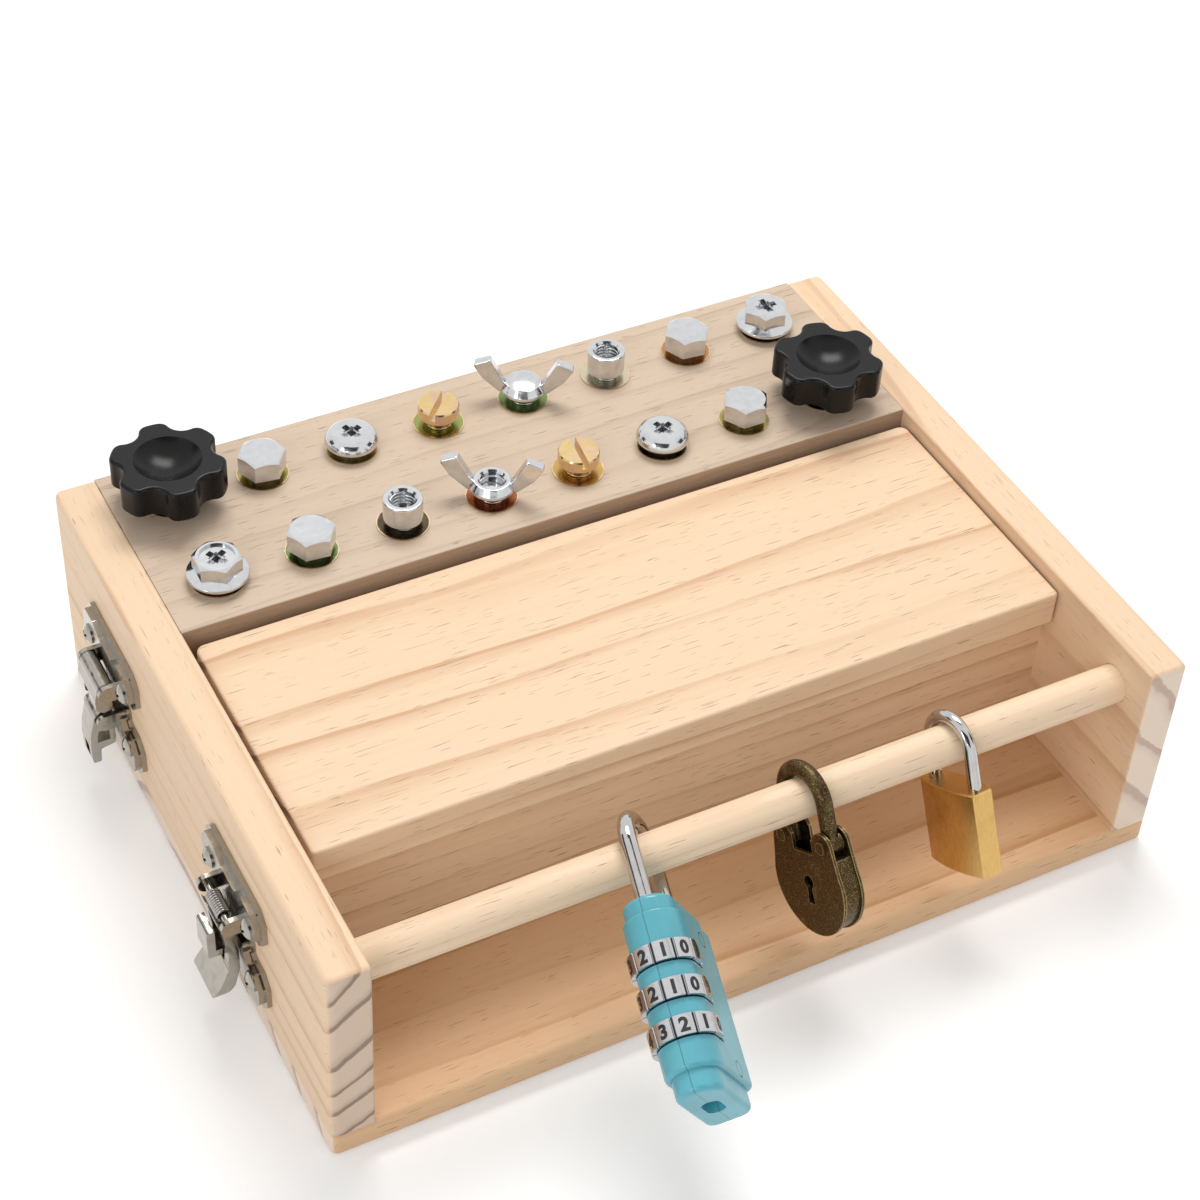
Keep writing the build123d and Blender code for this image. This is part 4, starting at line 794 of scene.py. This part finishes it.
def flat_digit(text):
    """One digit as a flat mesh, centred, one DIGIT_HEIGHT tall and cut into strips."""
    curve = bpy.data.curves.new("digit", "FONT")
    curve.body = text
    curve.align_x = "CENTER"
    curve.align_y = "CENTER"
    curve.offset = DIGIT_BOLDNESS
    curve.resolution_u = DIGIT_SMOOTHNESS
    holder = bpy.data.objects.new("digit", curve)
    bpy.context.scene.collection.objects.link(holder)
    evaluated = holder.evaluated_get(bpy.context.evaluated_depsgraph_get())
    mesh = bpy.data.meshes.new_from_object(evaluated)
    bpy.data.objects.remove(holder)
    flat = bmesh.new()
    flat.from_mesh(mesh)
    xs = [v.co.x for v in flat.verts]
    ys = [v.co.y for v in flat.verts]
    scale = DIGIT_HEIGHT / (max(ys) - min(ys))
    middle = Vector(((max(xs) + min(xs)) / 2, (max(ys) + min(ys)) / 2, 0))
    for v in flat.verts:
        v.co = (v.co - middle) * scale
    width = (max(xs) - min(xs)) * scale
    for i in range(1, STRIPS):
        cut = width * (i / STRIPS - 0.5)
        geometry = flat.verts[:] + flat.edges[:] + flat.faces[:]
        bmesh.ops.bisect_plane(flat, geom=geometry, plane_co=(cut, 0, 0), plane_no=(1, 0, 0))
    bmesh.ops.triangulate(flat, faces=flat.faces)
    return flat


def wrap(flat, center, angle):
    """Wraps a flat digit round the ring at an angle, reading left to right from outside."""
    for v in flat.verts:
        turn = angle - v.co.x / RING_RADIUS
        out = cos(turn) * LOCK_FRONT + sin(turn) * LOCK_SIDE
        v.co = center + (RING_RADIUS + DIGIT_LIFT) * out + v.co.y * LOCK_UP


def ring_of_numbers(joint, first):
    center = Vector(joint["pos_m"])
    step = 2 * pi / RING_DIGITS
    meshes = []
    for i in range(RING_DIGITS):
        flat = flat_digit(str((first + i) % RING_DIGITS))
        wrap(flat, center, (i + 0.5) * step)
        mesh = bpy.data.meshes.new("digit")
        flat.to_mesh(mesh)
        flat.free()
        mesh.materials.append(INK)
        meshes.append(mesh)
    return meshes


for i, (joint, first) in enumerate(zip(ring_joints, FIRST_DIGITS), start=1):
    numbers = ring_of_numbers(joint, first)
    piece = add_piece(f"ring_{i}_numbers", numbers, joint["child"])
    print(piece.name, len(piece.data.polygons), "faces")

# %% [markdown]
# ## Studio
#
# A pale floor, lifted to white for the camera, runs out to a white world, so the case stands in
# open light with only its own soft shadow. One large lamp hangs over the back and a weaker one
# fills from the front left. The world is plain white to the camera and in reflections, and a
# little more than half as bright for the light it gives. Dark cards stand round the case. Only
# reflections see them, and they cast no shadow: polished metal shows them as dark bands between
# the white, which is what makes it look like metal.

# %% Floor, world and lamps
FLOOR_SIZE = 6.0
FLOOR_DROP = 0.2 * MM
FLOOR_COLOR = (0.84, 0.84, 0.84)
FLOOR_GLOW = 0.21
WORLD_LIGHT = 0.57
WORLD_SEEN = 1.0
ALSO_SEEN = ("Is Glossy Ray", "Is Transmission Ray")


def white_floor():
    floor = Paint("white floor")
    seen = floor.add("ShaderNodeLightPath", output="Is Camera Ray")
    for kind in ALSO_SEEN:
        seen = seen.maths("MAXIMUM", seen, floor.add("ShaderNodeLightPath", output=kind))
    glow = floor.mix(seen, (0.0, 0.0, 0.0), (1.0, 1.0, 1.0))
    floor.finish(Base_Color=FLOOR_COLOR, Roughness=0.9, Specular_IOR_Level=0.1)
    return floor.finish(Emission_Color=glow, Emission_Strength=FLOOR_GLOW)


def make_floor():
    half = FLOOR_SIZE / 2
    corners = [(-half, -half, 0), (half, -half, 0), (half, half, 0), (-half, half, 0)]
    mesh = bpy.data.meshes.new("floor")
    mesh.from_pydata(corners, [], [(0, 1, 2, 3)])
    mesh.materials.append(white_floor())
    floor = bpy.data.objects.new("floor", mesh)
    floor.location.z = -FLOOR_DROP
    bpy.context.scene.collection.objects.link(floor)


def make_world():
    world = bpy.data.worlds.new("studio")
    world.use_nodes = True
    bpy.context.scene.world = world
    tree = world.node_tree
    background = tree.nodes["Background"]
    background.inputs["Color"].default_value = (1, 1, 1, 1)
    path = tree.nodes.new("ShaderNodeLightPath")
    seen = path.outputs["Is Camera Ray"]
    for kind in ALSO_SEEN:
        either = tree.nodes.new("ShaderNodeMath")
        either.operation = "MAXIMUM"
        tree.links.new(seen, either.inputs[0])
        tree.links.new(path.outputs[kind], either.inputs[1])
        seen = either.outputs[0]
    level = tree.nodes.new("ShaderNodeMapRange")
    level.inputs["To Min"].default_value = WORLD_LIGHT
    level.inputs["To Max"].default_value = WORLD_SEEN
    tree.links.new(seen, level.inputs["Value"])
    tree.links.new(level.outputs[0], background.inputs["Strength"])


# Each card: azimuth and elevation of its middle seen from the case, width and height in metres.
DARK_CARDS = (
    (210.0, 44.0, 1.30, 0.90),
    (115.0, 26.0, 0.50, 0.60),
    (305.0, 22.0, 0.40, 0.50),
    (30.0, 80.0, 0.70, 0.26),
)
CARD_DISTANCE = 1.3


def dark_cloth():
    cloth = Paint("dark cloth")
    x, y, z = cloth.place()
    weave = cloth.noise(cloth.point(x, y, z), 0.02, detail=2.0)
    color = cloth.mix(weave, (0.045, 0.045, 0.047), (0.075, 0.075, 0.075))
    return cloth.finish(Base_Color=color, Roughness=0.9, Specular_IOR_Level=0.1)


def make_cards():
    cloth = dark_cloth()
    for azimuth, elevation, width, height in DARK_CARDS:
        turn, rise = radians(azimuth), radians(elevation)
        way = Vector((sin(turn) * cos(rise), cos(turn) * cos(rise), sin(rise)))
        right = way.cross(Vector((0, 0, 1))).normalized() * width / 2
        up = right.cross(way).normalized() * height / 2
        middle = CARD_DISTANCE * way
        mesh = bpy.data.meshes.new("dark card")
        low, high = middle - up, middle + up
        corners = [low - right, low + right, high + right, high - right]
        mesh.from_pydata(corners, [], [(0, 1, 2, 3)])
        mesh.materials.append(cloth)
        card = bpy.data.objects.new("dark card", mesh)
        bpy.context.scene.collection.objects.link(card)
        card.visible_camera = False
        card.visible_diffuse = False
        card.visible_shadow = False


# Each lamp: name, place, the point it aims at, width and height, watts and colour.
LAMPS = (
    ("key", (0.30, 0.55, 1.25), (0, 0, 0), (0.8, 0.5), 11.5, (1.0, 0.985, 0.96)),
    ("fill", (-1.1, -0.75, 0.85), (0, 0, 0.03), (0.9, 0.6), 5.6, (0.97, 0.985, 1.0)),
)


def make_lamp(name, place, aim, size, power, color):
    data = bpy.data.lights.new(name, "AREA")
    data.shape = "RECTANGLE"
    data.size, data.size_y = size
    data.energy = power
    data.color = color
    lamp = bpy.data.objects.new(name, data)
    lamp.location = place
    lamp.rotation_euler = (Vector(aim) - Vector(place)).to_track_quat("-Z", "Y").to_euler()
    bpy.context.scene.collection.objects.link(lamp)


make_floor()
make_world()
make_cards()
for lamp_values in LAMPS:
    make_lamp(*lamp_values)
bpy.context.scene.view_settings.view_transform = "Standard"
print("studio lit")
